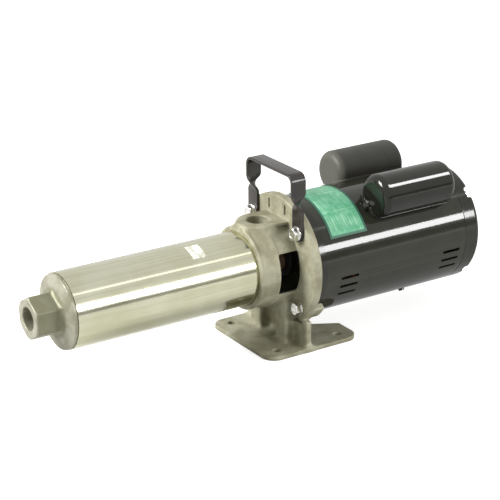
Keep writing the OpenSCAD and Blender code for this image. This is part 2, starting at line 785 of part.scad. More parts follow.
module front_end_bell() color(black_paint) difference() {
    union() {
        along_shaft(0) cylinder(r = motor_r, h = bell_face_t);
        along_shaft(0) tube(motor_r, motor_r - bell_wall, front_rim_l);
        along_shaft(0) tube(motor_r - motor_wall - seat_gap, motor_r - bell_wall, front_rim_l + spigot_l);
        along_shaft(0) cylinder(r = bearing_r + hub_wall, h = x_front_bearing + bearing_w);
        along_shaft(-pilot_l + bead_step / 2) tube(pilot_r, pilot_r - bell_wall, pilot_l);
        intersection() {
            for (a = [45 : 90 : 315]) at_bolt(a, 0) cylinder(r = bell_boss_r, h = bell_boss_l);
            along_shaft(0) cylinder(r = motor_r - motor_wall - seat_gap, h = bell_boss_l);
        }
    }
    along_shaft(x_front_bearing) cylinder(r = bearing_r + seat_gap, h = bearing_w + overrun);
    along_shaft(-overrun) cylinder(r = bearing_bore_r + overrun, h = x_front_bearing + 2 * overrun);
    for (a = [45 : 90 : 315]) {
        at_bolt(a, -overrun) cylinder(r = thread_r + seat_gap, h = thread_depth + overrun);
        at_bolt(a, thread_depth + overrun) cylinder(r = through_r + seat_gap, h = bell_boss_l);
    }
}

// A vent slot with round ends, cut through the top of the motor shell
module vent_slot() translate([0, 0, motor_r - 2 * motor_wall]) union() {
    translate([vent_w / 2, -vent_w / 2, 0]) cube([vent_l - vent_w, vent_w, 4 * motor_wall]);
    for (x = [vent_w / 2, vent_l - vent_w / 2]) translate([x, 0, 0])
        cylinder(r = vent_w / 2, h = 4 * motor_wall);
}

module motor_shell() color(black_paint) difference() {
    along_shaft(front_rim_l) tube(motor_r, motor_r - motor_wall, x_shell_end - front_rim_l);
    for (side = [-1, 1], x = [front_vent_x, rear_vent_x], i = [0 : vent_count - 1])
        about_shaft(side * (90 + vent_start + i * vent_step)) translate([x, 0, 0]) vent_slot();
}

module rear_end_bell() color(black_paint) difference() {
    union() {
        along_shaft(x_shell_end) rotate_extrude() union() {
            square([motor_r - edge_r, rear_bell_l]);
            square([motor_r, rear_bell_l - edge_r]);
            translate([motor_r - edge_r, rear_bell_l - edge_r]) circle(r = edge_r);
        }
        along_shaft(x_shell_end - spigot_l)
            cylinder(r = motor_r - motor_wall - seat_gap, h = spigot_l + bite);
    }
    difference() {
        along_shaft(x_shell_end - spigot_l - overrun)
            cylinder(r = motor_r - bell_wall, h = spigot_l + overrun + rear_bell_l - bell_wall);
        along_shaft(x_shell_end - spigot_l)
            cylinder(r = bearing_r + hub_wall, h = spigot_l + rear_bell_l);
        for (a = [60, 180, 300]) about_shaft(a)
            translate([x_shell_end - spigot_l, 0, plate_post_offset]) rotate([0, 90, 0])
                cylinder(r = plate_post_r, h = spigot_l + rear_bell_l);
        for (a = [45 : 90 : 315]) at_bolt(a, x_shell_end)
            cylinder(r = pocket_r + pocket_wall, h = rear_bell_l);
    }
    along_shaft(x_shell_end - spigot_l - overrun)
        cylinder(r = bearing_r + seat_gap,
            h = rear_bearing_inset + bearing_w + washer_spring_t + spigot_l + overrun);
    along_shaft(x_rear_bearing) cylinder(r = body_shaft_r, h = bearing_w + through_inset);
    for (a = [45 : 90 : 315]) {
        at_bolt(a, x_shell_end - spigot_l - overrun)
            cylinder(r = through_r + seat_gap, h = spigot_l + rear_bell_l);
        at_bolt(a, x_motor_end - through_inset) cylinder(r = pocket_r, h = through_inset + overrun);
    }
    terminal_screw_holes();
    at_inlet(motor_r - inlet_plug_t + overrun) cylinder(r = inlet_rim_r + run_gap, h = inlet_rim_r);
    at_inlet(motor_r - 2 * bell_wall) cylinder(r = inlet_hole_r + seat_gap, h = inlet_rim_r);
}

// The cable inlet is on the side away from the suction port's elbow
module at_inlet(radius) about_shaft(-90) translate([inlet_x, 0, radius]) children();

module inlet_plug() color(rubber_black) {
    at_inlet(motor_r - inlet_plug_t + overrun) cylinder(r = inlet_rim_r, h = inlet_plug_t);
    at_inlet(motor_r - bell_wall) cylinder(r = inlet_hole_r, h = bell_wall);
}

// The earth screw under the motor shell
module ground_screw() color(bright_steel) about_shaft(ground_screw_angle)
    translate([ground_screw_x, 0, motor_r + seat_gap]) cylinder(r = screw_head_r, h = screw_head_l);

module terminal_cover() color(black_paint) difference() {
    along_shaft(x_motor_end) rotate([0, 0, 180 - terminal_half_angle])
        rotate_extrude(angle = 2 * terminal_half_angle)
            translate([bearing_r, 0]) square([terminal_r - bearing_r, terminal_t]);
    terminal_screw_holes();
}

module terminal_screw_holes() for (side = [-1, 1])
    about_shaft(side * (terminal_half_angle - terminal_screw_inset))
        translate([x_motor_end - bell_wall / 2 - bite, 0, (terminal_r + bearing_r) / 2]) rotate([0, 90, 0])
            cylinder(r = screw_r + seat_gap, h = bell_wall + terminal_t);

module slot_bars(width, depth, length) for (i = [0 : slot_count - 1])
    rotate([0, 0, (i + 0.5) * 360 / slot_count])
        translate([rotor_r + air_gap - overrun, -width / 2, 0]) cube([depth + overrun, width, length]);

module stator_core() color([0.45, 0.44, 0.42]) difference() {
    along_shaft(x_stator) tube(motor_r - motor_wall - seat_gap, rotor_r + air_gap, stator_l);
    along_shaft(x_stator - overrun) slot_bars(slot_w, slot_depth, stator_l + 2 * overrun);
    for (a = [45 : 90 : 315]) at_bolt(a, x_stator - overrun)
        cylinder(r = through_r + overrun, h = stator_l + 2 * overrun);
}

module winding_end() rotate_extrude() translate([rotor_r + air_gap + winding_gap, 0]) union() {
    square([winding_w, winding_l - winding_corner_r]);
    translate([winding_corner_r, 0]) square([winding_w - 2 * winding_corner_r, winding_l]);
    for (x = [winding_corner_r, winding_w - winding_corner_r])
        translate([x, winding_l - winding_corner_r]) circle(r = winding_corner_r);
}

module stator_windings() color(copper) {
    along_shaft(x_stator_end) winding_end();
    along_shaft(x_stator) mirror([0, 0, 1]) winding_end();
    along_shaft(x_stator - bite) intersection() {
        slot_bars(slot_w - slot_fill_gap, slot_depth - slot_fill_gap, stator_l + 2 * bite);
        tube(motor_r, rotor_r + air_gap + winding_gap, stator_l + 2 * bite);
    }
}

module rotor_end() {
    tube(rotor_r - rotor_end_inset, rotor_r - end_ring_w, end_ring_l);
    for (i = [0 : blade_count - 1]) rotate([0, 0, i * 360 / blade_count])
        translate([rotor_r - end_ring_w, -blade_t / 2, 0])
            cube([end_ring_w - blade_inset, blade_t, blade_l]);
}

module rotor_core() color([0.55, 0.55, 0.56]) {
    along_shaft(x_stator) tube(rotor_r, core_shaft_r + seat_gap, stator_l);
    along_shaft(x_stator_end - bite) rotor_end();
    along_shaft(x_stator + bite) mirror([0, 0, 1]) rotor_end();
}

module motor_shaft() color(bright_steel) {
    along_shaft(x_shaft_joint + shaft_end_gap)
        cylinder(r = shaft_r, h = x_front_bearing - x_shaft_joint - shaft_end_gap);
    along_shaft(x_front_bearing - bite) cylinder(r = bearing_bore_r - seat_gap, h = bearing_w + 2 * bite);
    along_shaft(x_front_bearing + bearing_w)
        cylinder(r = body_shaft_r, h = x_rear_bearing - x_front_bearing - bearing_w);
    along_shaft(x_stator - end_ring_l) cylinder(r = core_shaft_r, h = stator_l + 2 * end_ring_l);
    along_shaft(x_rear_bearing - bite)
        cylinder(r = bearing_bore_r - seat_gap, h = bearing_w + washer_spring_t + bite);
}

module bearing_ring(x) color(bright_steel)
    along_shaft(x) tube(bearing_r, race_r + journal_gap, bearing_w);

module inner_race(x) color(bright_steel) along_shaft(x) tube(race_r, bearing_bore_r, bearing_w);

module front_bearing() bearing_ring(x_front_bearing);
module rear_bearing() bearing_ring(x_rear_bearing);
module front_inner_race() inner_race(x_front_bearing);
module rear_inner_race() inner_race(x_rear_bearing);

module preload_washer() color(bright_steel)
    along_shaft(x_rear_bearing + bearing_w)
        tube(bearing_r - seat_gap, race_r + washer_inner_gap, washer_spring_t);

module switch_plate() color([0.42, 0.25, 0.15])
    along_shaft(x_switch) tube(switch_plate_r, bearing_r, switch_plate_t);

module switch_governor() color(bright_steel) 
    along_shaft(x_collar - collar_travel - eye_gap - governor_l) {
    tube(bearing_r - hub_wall, body_shaft_r + seat_gap, governor_l);
    translate([0, 0, governor_l / 2]) tube(governor_r, bearing_r - hub_wall - bite, switch_plate_t);
    for (side = [-1, 1]) translate([side * governor_r * weight_place_share, 0, governor_l / 4 + bite])
        cube([governor_r * weight_width_share, governor_r * weight_height_share, governor_l / 2],
            center = true);
}

module through_bolts() color(bright_steel) for (a = [45 : 90 : 315]) {
    at_bolt(a, thread_depth + 2 * overrun)
        cylinder(r = through_r, h = x_motor_end - through_inset - thread_depth - overrun);
    at_bolt(a, x_motor_end - through_inset) cylinder(r = through_head_r, h = through_head_l);
}

// The governor's collar slides along the shaft and works the starting switch
module governor_collar() color(black_paint) along_shaft(x_collar) {
    tube(collar_sleeve_r, body_shaft_r + journal_gap, collar_l);
    translate([0, 0, collar_l - collar_flange_t])
        tube(collar_r, collar_sleeve_r - bite, collar_flange_t);
}

// Capacitor covers

// A round can with rounded ends, standing on the plane
module soft_can(radius, length, corner) rotate_extrude() union() {
    square([radius - corner, length]);
    translate([0, corner]) square([radius, length - 2 * corner]);
    for (z = [corner, length - corner]) translate([radius - corner, z]) circle(r = corner);
}

module at_cover(side, x) about_shaft(side * cover_angle) translate([x, 0, 0]) children();

module capacitor_cover(side) color(black_paint) difference() {
    union() {
        at_cover(side, cover_x) translate([0, 0, cover_offset]) rotate([0, 90, 0])
            soft_can(cover_r, cover_l, cover_corner_r);
        at_cover(side, cover_x) translate([-tab_l, -tab_w / 2, 0])
            cube([cover_l + 2 * tab_l, tab_w, motor_r + cover_wall]);
    }
    at_cover(side, cover_x + cover_wall) translate([0, 0, cover_offset]) rotate([0, 90, 0])
        soft_can(cover_r - cover_wall, cover_l - 2 * cover_wall, cover_corner_r - cover_wall);
    along_shaft(0) cylinder(r = motor_r + seat_gap, h = x_shell_end);
    for (x = [-tab_l / 2, cover_l + tab_l / 2]) at_cover(side, cover_x + x)
        cylinder(r = screw_r + seat_gap, h = motor_r + 2 * cover_wall);
}

module capacitor(side) color([0.60, 0.62, 0.63])
    at_cover(side, cover_x + (cover_l - capacitor_l) / 2)
        translate([0, 0, motor_r + capacitor_r + 2 * seat_gap]) rotate([0, 90, 0]) {
            cylinder(r = capacitor_r, h = capacitor_l);
            for (y = [-1, 1]) translate([-terminal_blade_w / 2, y * capacitor_r / 2, capacitor_l - bite])
                cube([terminal_blade_w, overrun, terminal_blade_l]);
        }

module start_capacitor_cover() capacitor_cover(1);
module run_capacitor_cover() capacitor_cover(-1);
module start_capacitor() capacitor(1);
module run_capacitor() capacitor(-1);

// A screw standing on a face, with its shank below
module cover_screw(grip) {
    cylinder(r = screw_head_r, h = screw_head_l);
    translate([0, 0, -grip]) cylinder(r = screw_r, h = grip + bite);
}

module cover_screws() color(bright_steel) {
    for (side = [-1, 1], x = [-tab_l / 2, cover_l + tab_l / 2]) at_cover(side, cover_x + x)
        translate([0, 0, motor_r + cover_wall]) cover_screw(cover_wall - seat_gap);
    for (side = [-1, 1]) about_shaft(side * (terminal_half_angle - terminal_screw_inset))
        translate([x_motor_end + terminal_t, 0, (terminal_r + bearing_r) / 2]) rotate([0, 90, 0])
            cover_screw(terminal_t + bell_wall / 2);
}

module nameplate() color(plate_green) along_shaft(plate_x)
    rotate([0, 0, 270 - plate_low_angle - plate_span]) rotate_extrude(angle = plate_span)
        translate([motor_r + seat_gap, 0]) square([plate_t, plate_l]);

suction_bracket();
shell_tube();
discharge_head();
head_o_ring();
socket_o_ring();
inlet_plate();
diffuser_1();
diffuser_2();
diffuser_3();
diffuser_4();
diffuser_5();
diffuser_6();
diffuser_7();
diffuser_8();
impeller_1();
impeller_2();
impeller_3();
impeller_4();
impeller_5();
impeller_6();
impeller_7();
impeller_8();
bearing_spider();
shaft_bushing();
journal_sleeve();
shaft_nut();
pump_shaft();
seal_seat();
seal_head();
coupling();
coupling_screws();
slinger();
carrying_handle();
flange_bolts();
flange_washers();
front_end_bell();
motor_shell();
rear_end_bell();
terminal_cover();
stator_core();
stator_windings();
rotor_core();
motor_shaft();
front_bearing();
rear_bearing();
front_inner_race();
rear_inner_race();
preload_washer();
switch_plate();
switch_governor();
governor_collar();
through_bolts();
start_capacitor_cover();
run_capacitor_cover();
start_capacitor();
run_capacitor();
cover_screws();
nameplate();
inlet_plug();
ground_screw();
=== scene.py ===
# %% [markdown]
# # A multistage booster pump
#
# This lesson dresses a horizontal booster pump: a round electric motor, a cast bracket that stands
# on a foot, and a stainless tube that holds the stages. The solid model gives every piece its real
# size and place. Here the pieces get the soft edges, the castings' skin, the drawn metal and the
# gloss paint that make them look real.
#
# All sizes are in metres, X runs along the shaft towards the motor, and Z is up.

import json
from math import cos, pi, radians, sin

import bmesh
import bpy
import numpy as np
from mathutils import Matrix, Vector


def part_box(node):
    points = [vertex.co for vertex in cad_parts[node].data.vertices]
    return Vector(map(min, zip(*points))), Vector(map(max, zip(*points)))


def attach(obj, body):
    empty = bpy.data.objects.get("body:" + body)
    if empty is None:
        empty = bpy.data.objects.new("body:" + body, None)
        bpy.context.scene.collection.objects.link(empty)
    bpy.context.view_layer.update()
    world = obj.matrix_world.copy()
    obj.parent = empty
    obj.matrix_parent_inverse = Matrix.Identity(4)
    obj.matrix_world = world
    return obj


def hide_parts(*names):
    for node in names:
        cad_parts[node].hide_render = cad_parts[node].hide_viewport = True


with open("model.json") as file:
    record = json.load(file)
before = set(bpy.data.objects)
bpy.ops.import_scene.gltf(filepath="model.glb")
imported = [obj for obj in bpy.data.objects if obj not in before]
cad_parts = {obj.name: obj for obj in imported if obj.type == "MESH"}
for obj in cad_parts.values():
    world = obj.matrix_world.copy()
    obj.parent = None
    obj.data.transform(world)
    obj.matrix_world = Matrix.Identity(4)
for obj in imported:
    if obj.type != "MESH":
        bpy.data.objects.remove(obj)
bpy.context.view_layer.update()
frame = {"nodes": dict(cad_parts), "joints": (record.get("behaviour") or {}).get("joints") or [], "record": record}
MM = 0.001
SHAFT_Z = frame["joints"][0]["pos_m"][2]
print("solid model:", len(frame["nodes"]), "nodes, shaft at", SHAFT_Z, "m")

# %% [markdown]
# ## The camera
#
# The camera comes first, because every later choice is judged through it. The picture was taken
# from two metres away with a long lens, so the pump shows almost without perspective. Azimuth,
# elevation and roll were found by matching the round outlines of the motor, the flange and the
# tube. The camera looks from the front left and from a little above.

# %% Make the camera
CAMERA_AZIMUTH = radians(-32.79)
CAMERA_ELEVATION = radians(20.98)
CAMERA_ROLL = radians(-0.394)
CAMERA_DISTANCE = 2255.99 * MM
CAMERA_SHIFT = (-4.73 * MM, 18.96 * MM)
CAMERA_AIM = Vector((-49 * MM, 0, SHAFT_Z))
LENS_MM = 122.5
FAR_CLIP = 50


def add_object(name, data):
    """A new object in the scene, at the origin."""
    item = bpy.data.objects.new(name, data)
    bpy.context.scene.collection.objects.link(item)
    return item


def stood_at(place, *axes):
    """The matrix of a thing that stands at a place, from the directions of its three axes."""
    return Matrix.Translation(place) @ Matrix(axes).transposed().to_4x4()


def make_camera():
    """Turns the view angles into three axes, then steps back from the aim point along the third."""
    az, el, roll = CAMERA_AZIMUTH, CAMERA_ELEVATION, CAMERA_ROLL
    back = Vector((sin(az) * cos(el), -cos(az) * cos(el), sin(el)))
    level = Vector((cos(az), sin(az), 0))
    rise = level.cross(-back)
    right = cos(roll) * level + sin(roll) * rise
    up = cos(roll) * rise - sin(roll) * level
    place = CAMERA_AIM + back * CAMERA_DISTANCE + right * CAMERA_SHIFT[0] + up * CAMERA_SHIFT[1]
    data = bpy.data.cameras.new("camera")
    data.lens = LENS_MM
    data.clip_end = FAR_CLIP
    camera = add_object("camera", data)
    camera.matrix_world = stood_at(place, right, up, back)
    bpy.context.scene.camera = camera


make_camera()

# %% [markdown]
# ## Light and floor
#
# Gloss black paint and drawn steel show their surroundings more than their own colour. A low soft
# box at the right draws the white streak along the tube and the motor. A narrow strip above it
# draws the thin line over that streak, and a wide one the bright line on the near cover. A high box
# at the left stands a little behind the shaft, so that the tube shades the legs. Light Path makes
# the background white to the camera and in reflections, and the floor white to the camera and
# greyer in reflections, while the object is lit at a plain level.

# %% A small class for shader maths


def operator(operation, swapped=False):
    """A method that adds the Math node of one operation, with its two values in either order."""
    def method(self, other):
        return self.tree.maths(operation, *((other, self) if swapped else (self, other)))
    return method


class Wire:
    """A socket that can be used like a number: each operator adds the Math node it needs."""

    def __init__(self, tree, socket):
        self.tree, self.socket = tree, socket

    __add__ = __radd__ = operator("ADD")
    __mul__ = __rmul__ = operator("MULTIPLY")
    __sub__, __rsub__ = operator("SUBTRACT"), operator("SUBTRACT", swapped=True)
    __truediv__, __pow__ = operator("DIVIDE"), operator("POWER")

    def band(self, low, high):
        """Rises from 0 at low to 1 at high, smoothly, and turns round when low is above high."""
        flip = low > high
        inputs = {"Value": self, "From Min": min(low, high), "From Max": max(low, high),
                  "To Min": float(flip), "To Max": float(not flip)}
        return self.tree.node("MapRange", inputs, interpolation_type="SMOOTHSTEP")

    def within(self, a, b, c, d):
        """Rises from 0 at a to 1 at b, and falls from 1 at c to 0 at d."""
        return self.band(a, b) * self.band(d, c)


class Tree:
    """The nodes of one material or world, with one method that adds any node."""

    def __init__(self, node_tree):
        self.nodes, self.links = node_tree.nodes, node_tree.links
        self.nodes.clear()

    def node(self, kind, inputs=None, out=0, **settings):
        node = self.nodes.new("ShaderNode" + kind)
        for key, value in settings.items():
            setattr(node, key, value)
        for key, value in (inputs or {}).items():
            self.feed(node.inputs[key], value)
        return Wire(self, node.outputs[out]) if node.outputs else node

    def feed(self, socket, value):
        if isinstance(value, Wire):
            self.links.new(value.socket, socket)
        elif isinstance(value, tuple) and len(value) == 3 and socket.type == "RGBA":
            socket.default_value = (*value, 1)
        else:
            socket.default_value = value

    def maths(self, operation, *values, clamp=False):
        return self.node("Math", dict(enumerate(values)), operation=operation, use_clamp=clamp)

    def place(self):
        """Object coordinates: metres in the pump's own frame, as each object is at the origin."""
        return self.node("TexCoord", out="Object")

    def edges(self):
        """Pointiness: above one half on edges and below it in hollows."""
        return self.node("NewGeometry", out="Pointiness")

    def part(self, vector, axis):
        return self.node("SeparateXYZ", {0: vector}, out=axis)

    def stretch(self, vector, scale):
        return self.node("Mapping", {"Vector": vector, "Scale": scale})

    def noise(self, scale, detail=3.0, roughness=0.55, vector=None):
        inputs = {"Vector": vector or self.place(), "Scale": scale, "Detail": detail,
                  "Roughness": roughness}
        return self.node("TexNoise", inputs)

    def blend(self, factor, first, second):
        """The first colour where factor is 0 and the second where it is 1."""
        inputs = {0: factor, 6: first, 7: second}
        return self.node("Mix", inputs, out=2, data_type="RGBA")

    def bump(self, height, distance, strength):
        inputs = {"Height": height, "Distance": distance, "Strength": strength}
        return self.node("Bump", inputs)


def coated(name, surface):
    """A material whose surface is the shader that surface(tree) returns."""
    material = bpy.data.materials.new(name)
    material.use_nodes = True
    tree = Tree(material.node_tree)
    tree.node("OutputMaterial", {"Surface": surface(tree)})
    return material


def finish(name, make):
    """A material whose Principled shader takes the sockets and values that make(tree) returns."""
    return coated(name, lambda tree: tree.node("BsdfPrincipled", make(tree)))


print("shader maths ready")

# %% Light the scene
FLOOR_SIZE = 30.0
FLOOR_GLOW_SEEN, FLOOR_GLOW_CAMERA = 0.34, 0.41
WHITE = (1.0, 1.0, 1.0)
ALONG_SHAFT, ACROSS_SHAFT = Vector((1, 0, 0)), Vector((0, -1, 0))
LAMPS = [
    # name, place, direction of the long side, size, watts
    ("streak_box", (1.62, -2.55, 1.09), ALONG_SHAFT, (1.76, 0.54), 80),
    ("strip_box", (1.60, -1.22, 2.35), ALONG_SHAFT, (1.80, 0.20), 1.9),
    ("cover_strip", (1.90, -1.38, 2.30), ALONG_SHAFT, (1.90, 0.62), 98),
    ("left_box", (-2.4, 0.75, 1.9), ACROSS_SHAFT, (1.2, 1.2), 150),
]
CARD_LOW, CARD_HIGH, CARD_GREY = (-0.6, -2.8, 0.14), (3.4, -2.8, 0.62), 0.35


def make_lamp(name, place, along, size, watts):
    """A soft box that lies along one direction and is tilted about it until it faces the shaft."""
    data = bpy.data.lights.new(name, "AREA")
    data.shape = "RECTANGLE"
    data.size, data.size_y = size
    data.energy = watts
    lamp = add_object(name, data)
    back = Vector(place) - Vector((0, 0, SHAFT_Z))
    back = (back - along * back.dot(along)).normalized()
    lamp.matrix_world = stood_at(place, along, back.cross(along), back)
    return lamp


def make_sheet(name, corners, surface):
    """One flat face with its own surface."""
    mesh = bpy.data.meshes.new(name)
    mesh.from_pydata(corners, [], [(0, 1, 2, 3)])
    mesh.materials.append(coated(name, surface))
    return add_object(name, mesh)


def card_surface(tree):
    return tree.node("Emission", {"Color": WHITE, "Strength": CARD_GREY})


def make_card():
    """A grey card under the streak box. It shows only in reflections, as the darker line that
    ends the white streak."""
    (x1, y, z1), (x2, _, z2) = CARD_LOW, CARD_HIGH
    corners = [(x1, y, z1), (x2, y, z1), (x2, y, z2), (x1, y, z2)]
    card = make_sheet("grey_card", corners, card_surface)
    card.visible_camera = card.visible_diffuse = card.visible_shadow = False


def seen_rays(tree):
    """1 for the rays that show the background itself: to the camera, mirrored or through glass."""
    rays = [tree.node("LightPath", out=name)
            for name in ("Is Camera Ray", "Is Glossy Ray", "Is Transmission Ray")]
    return tree.maths("ADD", rays[0], rays[1] + rays[2], clamp=True)


def make_world():
    """White where it is seen. The light that it gives to the object is grey and falls off towards
    the ground."""
    world = bpy.data.worlds.new("studio")
    world.use_nodes = True
    bpy.context.scene.world = world
    tree = Tree(world.node_tree)
    height = tree.part(tree.node("TexCoord", out="Generated"), "Z")
    light = tree.blend(height.band(-0.1, 0.5), (0.10, 0.10, 0.09), (0.62, 0.62, 0.61))
    surface = tree.node("Background", {"Color": tree.blend(seen_rays(tree), light, WHITE)})
    tree.node("OutputWorld", {"Surface": surface})


def floor_surface(tree):
    """Seen rays get extra white from the floor, and the camera's rays most, so that only the
    object's shadow darkens it."""
    matt = tree.node("BsdfDiffuse", {"Color": (0.5, 0.5, 0.49)})
    camera_ray = tree.node("LightPath", out="Is Camera Ray")
    extra = seen_rays(tree) * FLOOR_GLOW_SEEN + camera_ray * FLOOR_GLOW_CAMERA
    glow = tree.node("Emission", {"Color": WHITE, "Strength": extra})
    return tree.node("AddShader", {0: matt, 1: glow})


def make_floor():
    half = FLOOR_SIZE / 2
    corners = [(-half, -half, 0), (half, -half, 0), (half, half, 0), (-half, half, 0)]
    make_sheet("floor", corners, floor_surface)


make_world()
make_floor()
make_card()
lamps = {row[0]: make_lamp(*row) for row in LAMPS}
bpy.context.scene.view_settings.view_transform = "Standard"
print("lamps:", len(LAMPS))

# %% [markdown]
# ## Surfaces from formulas
#
# Nearly everything on a pump is turned, drawn or swept, so each piece is a grid of points: one
# direction of the grid runs round or along the piece, the other follows its outline. Numpy works
# out the whole grid at once. A turned piece needs an outline and a turn; a hexagon is a turned
# piece whose radius is cut down to six flats; a strap is a section carried along a path.

# %% Put a grid of points into a mesh
MERGE_GAP = 1e-6
SHARP_ANGLE = radians(38)
node_bodies = {node: body for body, nodes in frame["record"]["behaviour"]["bodies"].items()
               for node in nodes}
node_slots = {row["node"]: row["material_slot"] for row in frame["record"]["subparts"]}


def grid_quads(rows, columns, close_rows, close_columns):
    """Four-sided faces of a grid. Where it closes, its last row or column joins the first."""
    r = np.arange(rows if close_rows else rows - 1)
    c = np.arange(columns if close_columns else columns - 1)
    r, c = np.meshgrid(r, c, indexing="ij")
    r2, c2 = (r + 1) % rows, (c + 1) % columns
    corners = (r * columns + c, r * columns + c2, r2 * columns + c2, r2 * columns + c)
    return np.stack([k.ravel() for k in corners], axis=1)


def put_mesh(name, parts, sharp=SHARP_ANGLE):
    """Joins grids into one object at the origin. Seams and poles are closed, faces are turned
    outwards, and all but the sharp edges are shaded smoothly."""
    points = np.concatenate([p.reshape(-1, 3) for p, _ in parts])
    offsets = np.cumsum([0] + [p.size // 3 for p, _ in parts[:-1]])
    quads = np.concatenate([q + start for (_, q), start in zip(parts, offsets)])
    mesh = bpy.data.meshes.new(name)
    mesh.from_pydata(points, [], quads)
    shape = bmesh.new()
    shape.from_mesh(mesh)
    bmesh.ops.remove_doubles(shape, verts=shape.verts, dist=MERGE_GAP)
    bmesh.ops.dissolve_degenerate(shape, edges=shape.edges, dist=MERGE_GAP / 10)
    bmesh.ops.recalc_face_normals(shape, faces=shape.faces)
    shape.to_mesh(mesh)
    shape.free()
    mesh.shade_smooth()
    mesh.set_sharp_from_angle(angle=sharp)
    return add_object(name, mesh)


def dress(piece, node, material=None):
    """The piece stands for a CAD node: it takes the node's body and, unless another material is
    given, the material of the node's slot."""
    piece.data.materials.append(material or MATERIALS[node_slots[node]])
    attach(piece, node_bodies[node])
    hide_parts(node)


def add_to(piece, body, material):
    """An extra piece that the solid model doesn't hold, such as a label or a rivet."""
    piece.data.materials.append(material)
    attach(piece, body)


# %% Outlines, turned pieces and hexagons
HEX_CORNER = 1.145  # radius to a hexagon's worn corner, over half the width across flats
AXIS_TIP = 0.0001  # an outline's radius where it ends on the axis


def soften(corners, steps=5):
    """Rounds each corner of a closed outline. A corner is (x, y, cut), and the curve leaves the
    outline at the distance cut from it: (1-t)^2 A + 2t(1-t) C + t^2 B, with C the corner."""
    c = np.array(corners, float)
    point, cut = c[:, :2], c[:, 2:3]
    ways = [np.roll(point, step, axis=0) - point for step in (1, -1)]
    a, b = [point + way / np.linalg.norm(way, axis=1, keepdims=True) * cut for way in ways]
    t = np.linspace(0, 1, steps)[None, :, None]
    curve = (1 - t) ** 2 * a[:, None] + 2 * t * (1 - t) * point[:, None] + t ** 2 * b[:, None]
    return curve.reshape(-1, 2)


def round_shaft(x, radius, angle):
    return np.stack([x, -radius * np.sin(angle), SHAFT_Z + radius * np.cos(angle)], axis=-1)


def turned(outline, around, flats=None):
    """Carries a closed outline of (x, radius) round the shaft axis. Angle 0 is the top. With flats,
    the radius is cut to six flats of that width: it is the smaller of the outline's radius and
    width / 2 / cos(angle from the middle of the flat)."""
    outline = np.asarray(outline)
    angle = np.linspace(0, 2 * np.pi, around, endpoint=False)[:, None]
    radius = np.broadcast_to(outline[None, :, 1], (around, len(outline)))
    if flats:
        from_flat = (angle + np.pi / 6) % (np.pi / 3) - np.pi / 6
        hexagon = np.minimum(flats / 2 / np.cos(from_flat), flats / 2 * HEX_CORNER)
        radius = np.minimum(radius, hexagon)
    x = np.broadcast_to(outline[None, :, 0], radius.shape)
    return round_shaft(x, radius, angle), grid_quads(around, len(outline), True, True)


def moved(part, matrix):
    """The same grid after a turn or a move, as one matrix product over all its points."""
    points, quads = part
    m = np.array(matrix)
    return points @ m[:3, :3].T + m[:3, 3], quads


def about_shaft(angle):
    """A turn about the shaft axis: positive angles go from the top to the near side."""
    centre = Matrix.Translation((0, 0, SHAFT_Z))
    return centre @ Matrix.Rotation(radians(angle), 4, "X") @ centre.inverted()


def sector(outline, first, last, steps=24):
    """Carries a closed outline of (x, radius) round the shaft from one angle to another, in degrees
    from the top. Both ends shrink to the outline's middle, which closes them."""
    outline = np.asarray(outline)
    rows = np.repeat(outline[None], steps + 2, axis=0)
    rows[[0, -1]] = outline.mean(axis=0)
    angle = np.radians(np.concatenate([[first], np.linspace(first, last, steps), [last]]))[:, None]
    points = round_shaft(rows[..., 0], rows[..., 1], angle)
    return points, grid_quads(len(rows), len(outline), False, True)


print("outline of a soft square:", soften([(0, 0, .1), (1, 0, .1), (1, 1, .1), (0, 1, .1)]).shape)

# %% [markdown]
# ## Castings from distance fields
#
# A sand casting has no sharp inner corner: each rib runs into the next wall with a fillet. A grid
# of two parameters can't give that where boss, tube, legs and flange all meet, so the castings are
# made another way. A distance field says how far each point of space is from a simple shape. Two
# fields are joined with a soft minimum, which grows the fillet by itself, and are cut with a soft
# maximum. Where the field is zero, there is the skin. Sizes in these cells are in millimetres.

# %% Fields of simple shapes
AXIS_H = SHAFT_Z / MM
X, Y, Z = range(3)
ON_SHAFT = (0, 0, AXIS_H)
BEYOND = 300  # past every piece towards the motor and upwards


def radius_of(p):
    """How far the points are from the shaft axis."""
    return np.hypot(p[Y], p[Z] - AXIS_H)


def box_field(p, low, high, edge):
    """Distance to a box with rounded edges: q = |p - centre| - half size + edge, and the field is
    the length of q's positive part, plus the largest q where all are negative, minus the edge."""
    q = [np.abs(c - (a + b) / 2) - (b - a) / 2 + edge for c, a, b in zip(p, low, high)]
    outside = np.sqrt(sum(np.maximum(k, 0) ** 2 for k in q))
    return outside + np.minimum(np.maximum(np.maximum(q[X], q[Y]), q[Z]), 0) - edge


def rod_field(p, axis, centre, radius, low, high, edge):
    """Distance to a rod along one axis, as a rounded rectangle in (distance from axis, place)."""
    across = [c - m for i, (c, m) in enumerate(zip(p, centre)) if i != axis]
    q_side = np.hypot(*across) - radius + edge
    q_end = np.abs(p[axis] - (low + high) / 2) - (high - low) / 2 + edge
    outside = np.hypot(np.maximum(q_side, 0), np.maximum(q_end, 0))
    return outside + np.minimum(np.maximum(q_side, q_end), 0) - edge


def shaft_rod(p, radius, low, high, edge):
    """A rod on the shaft axis."""
    return rod_field(p, X, ON_SHAFT, radius, low, high, edge)


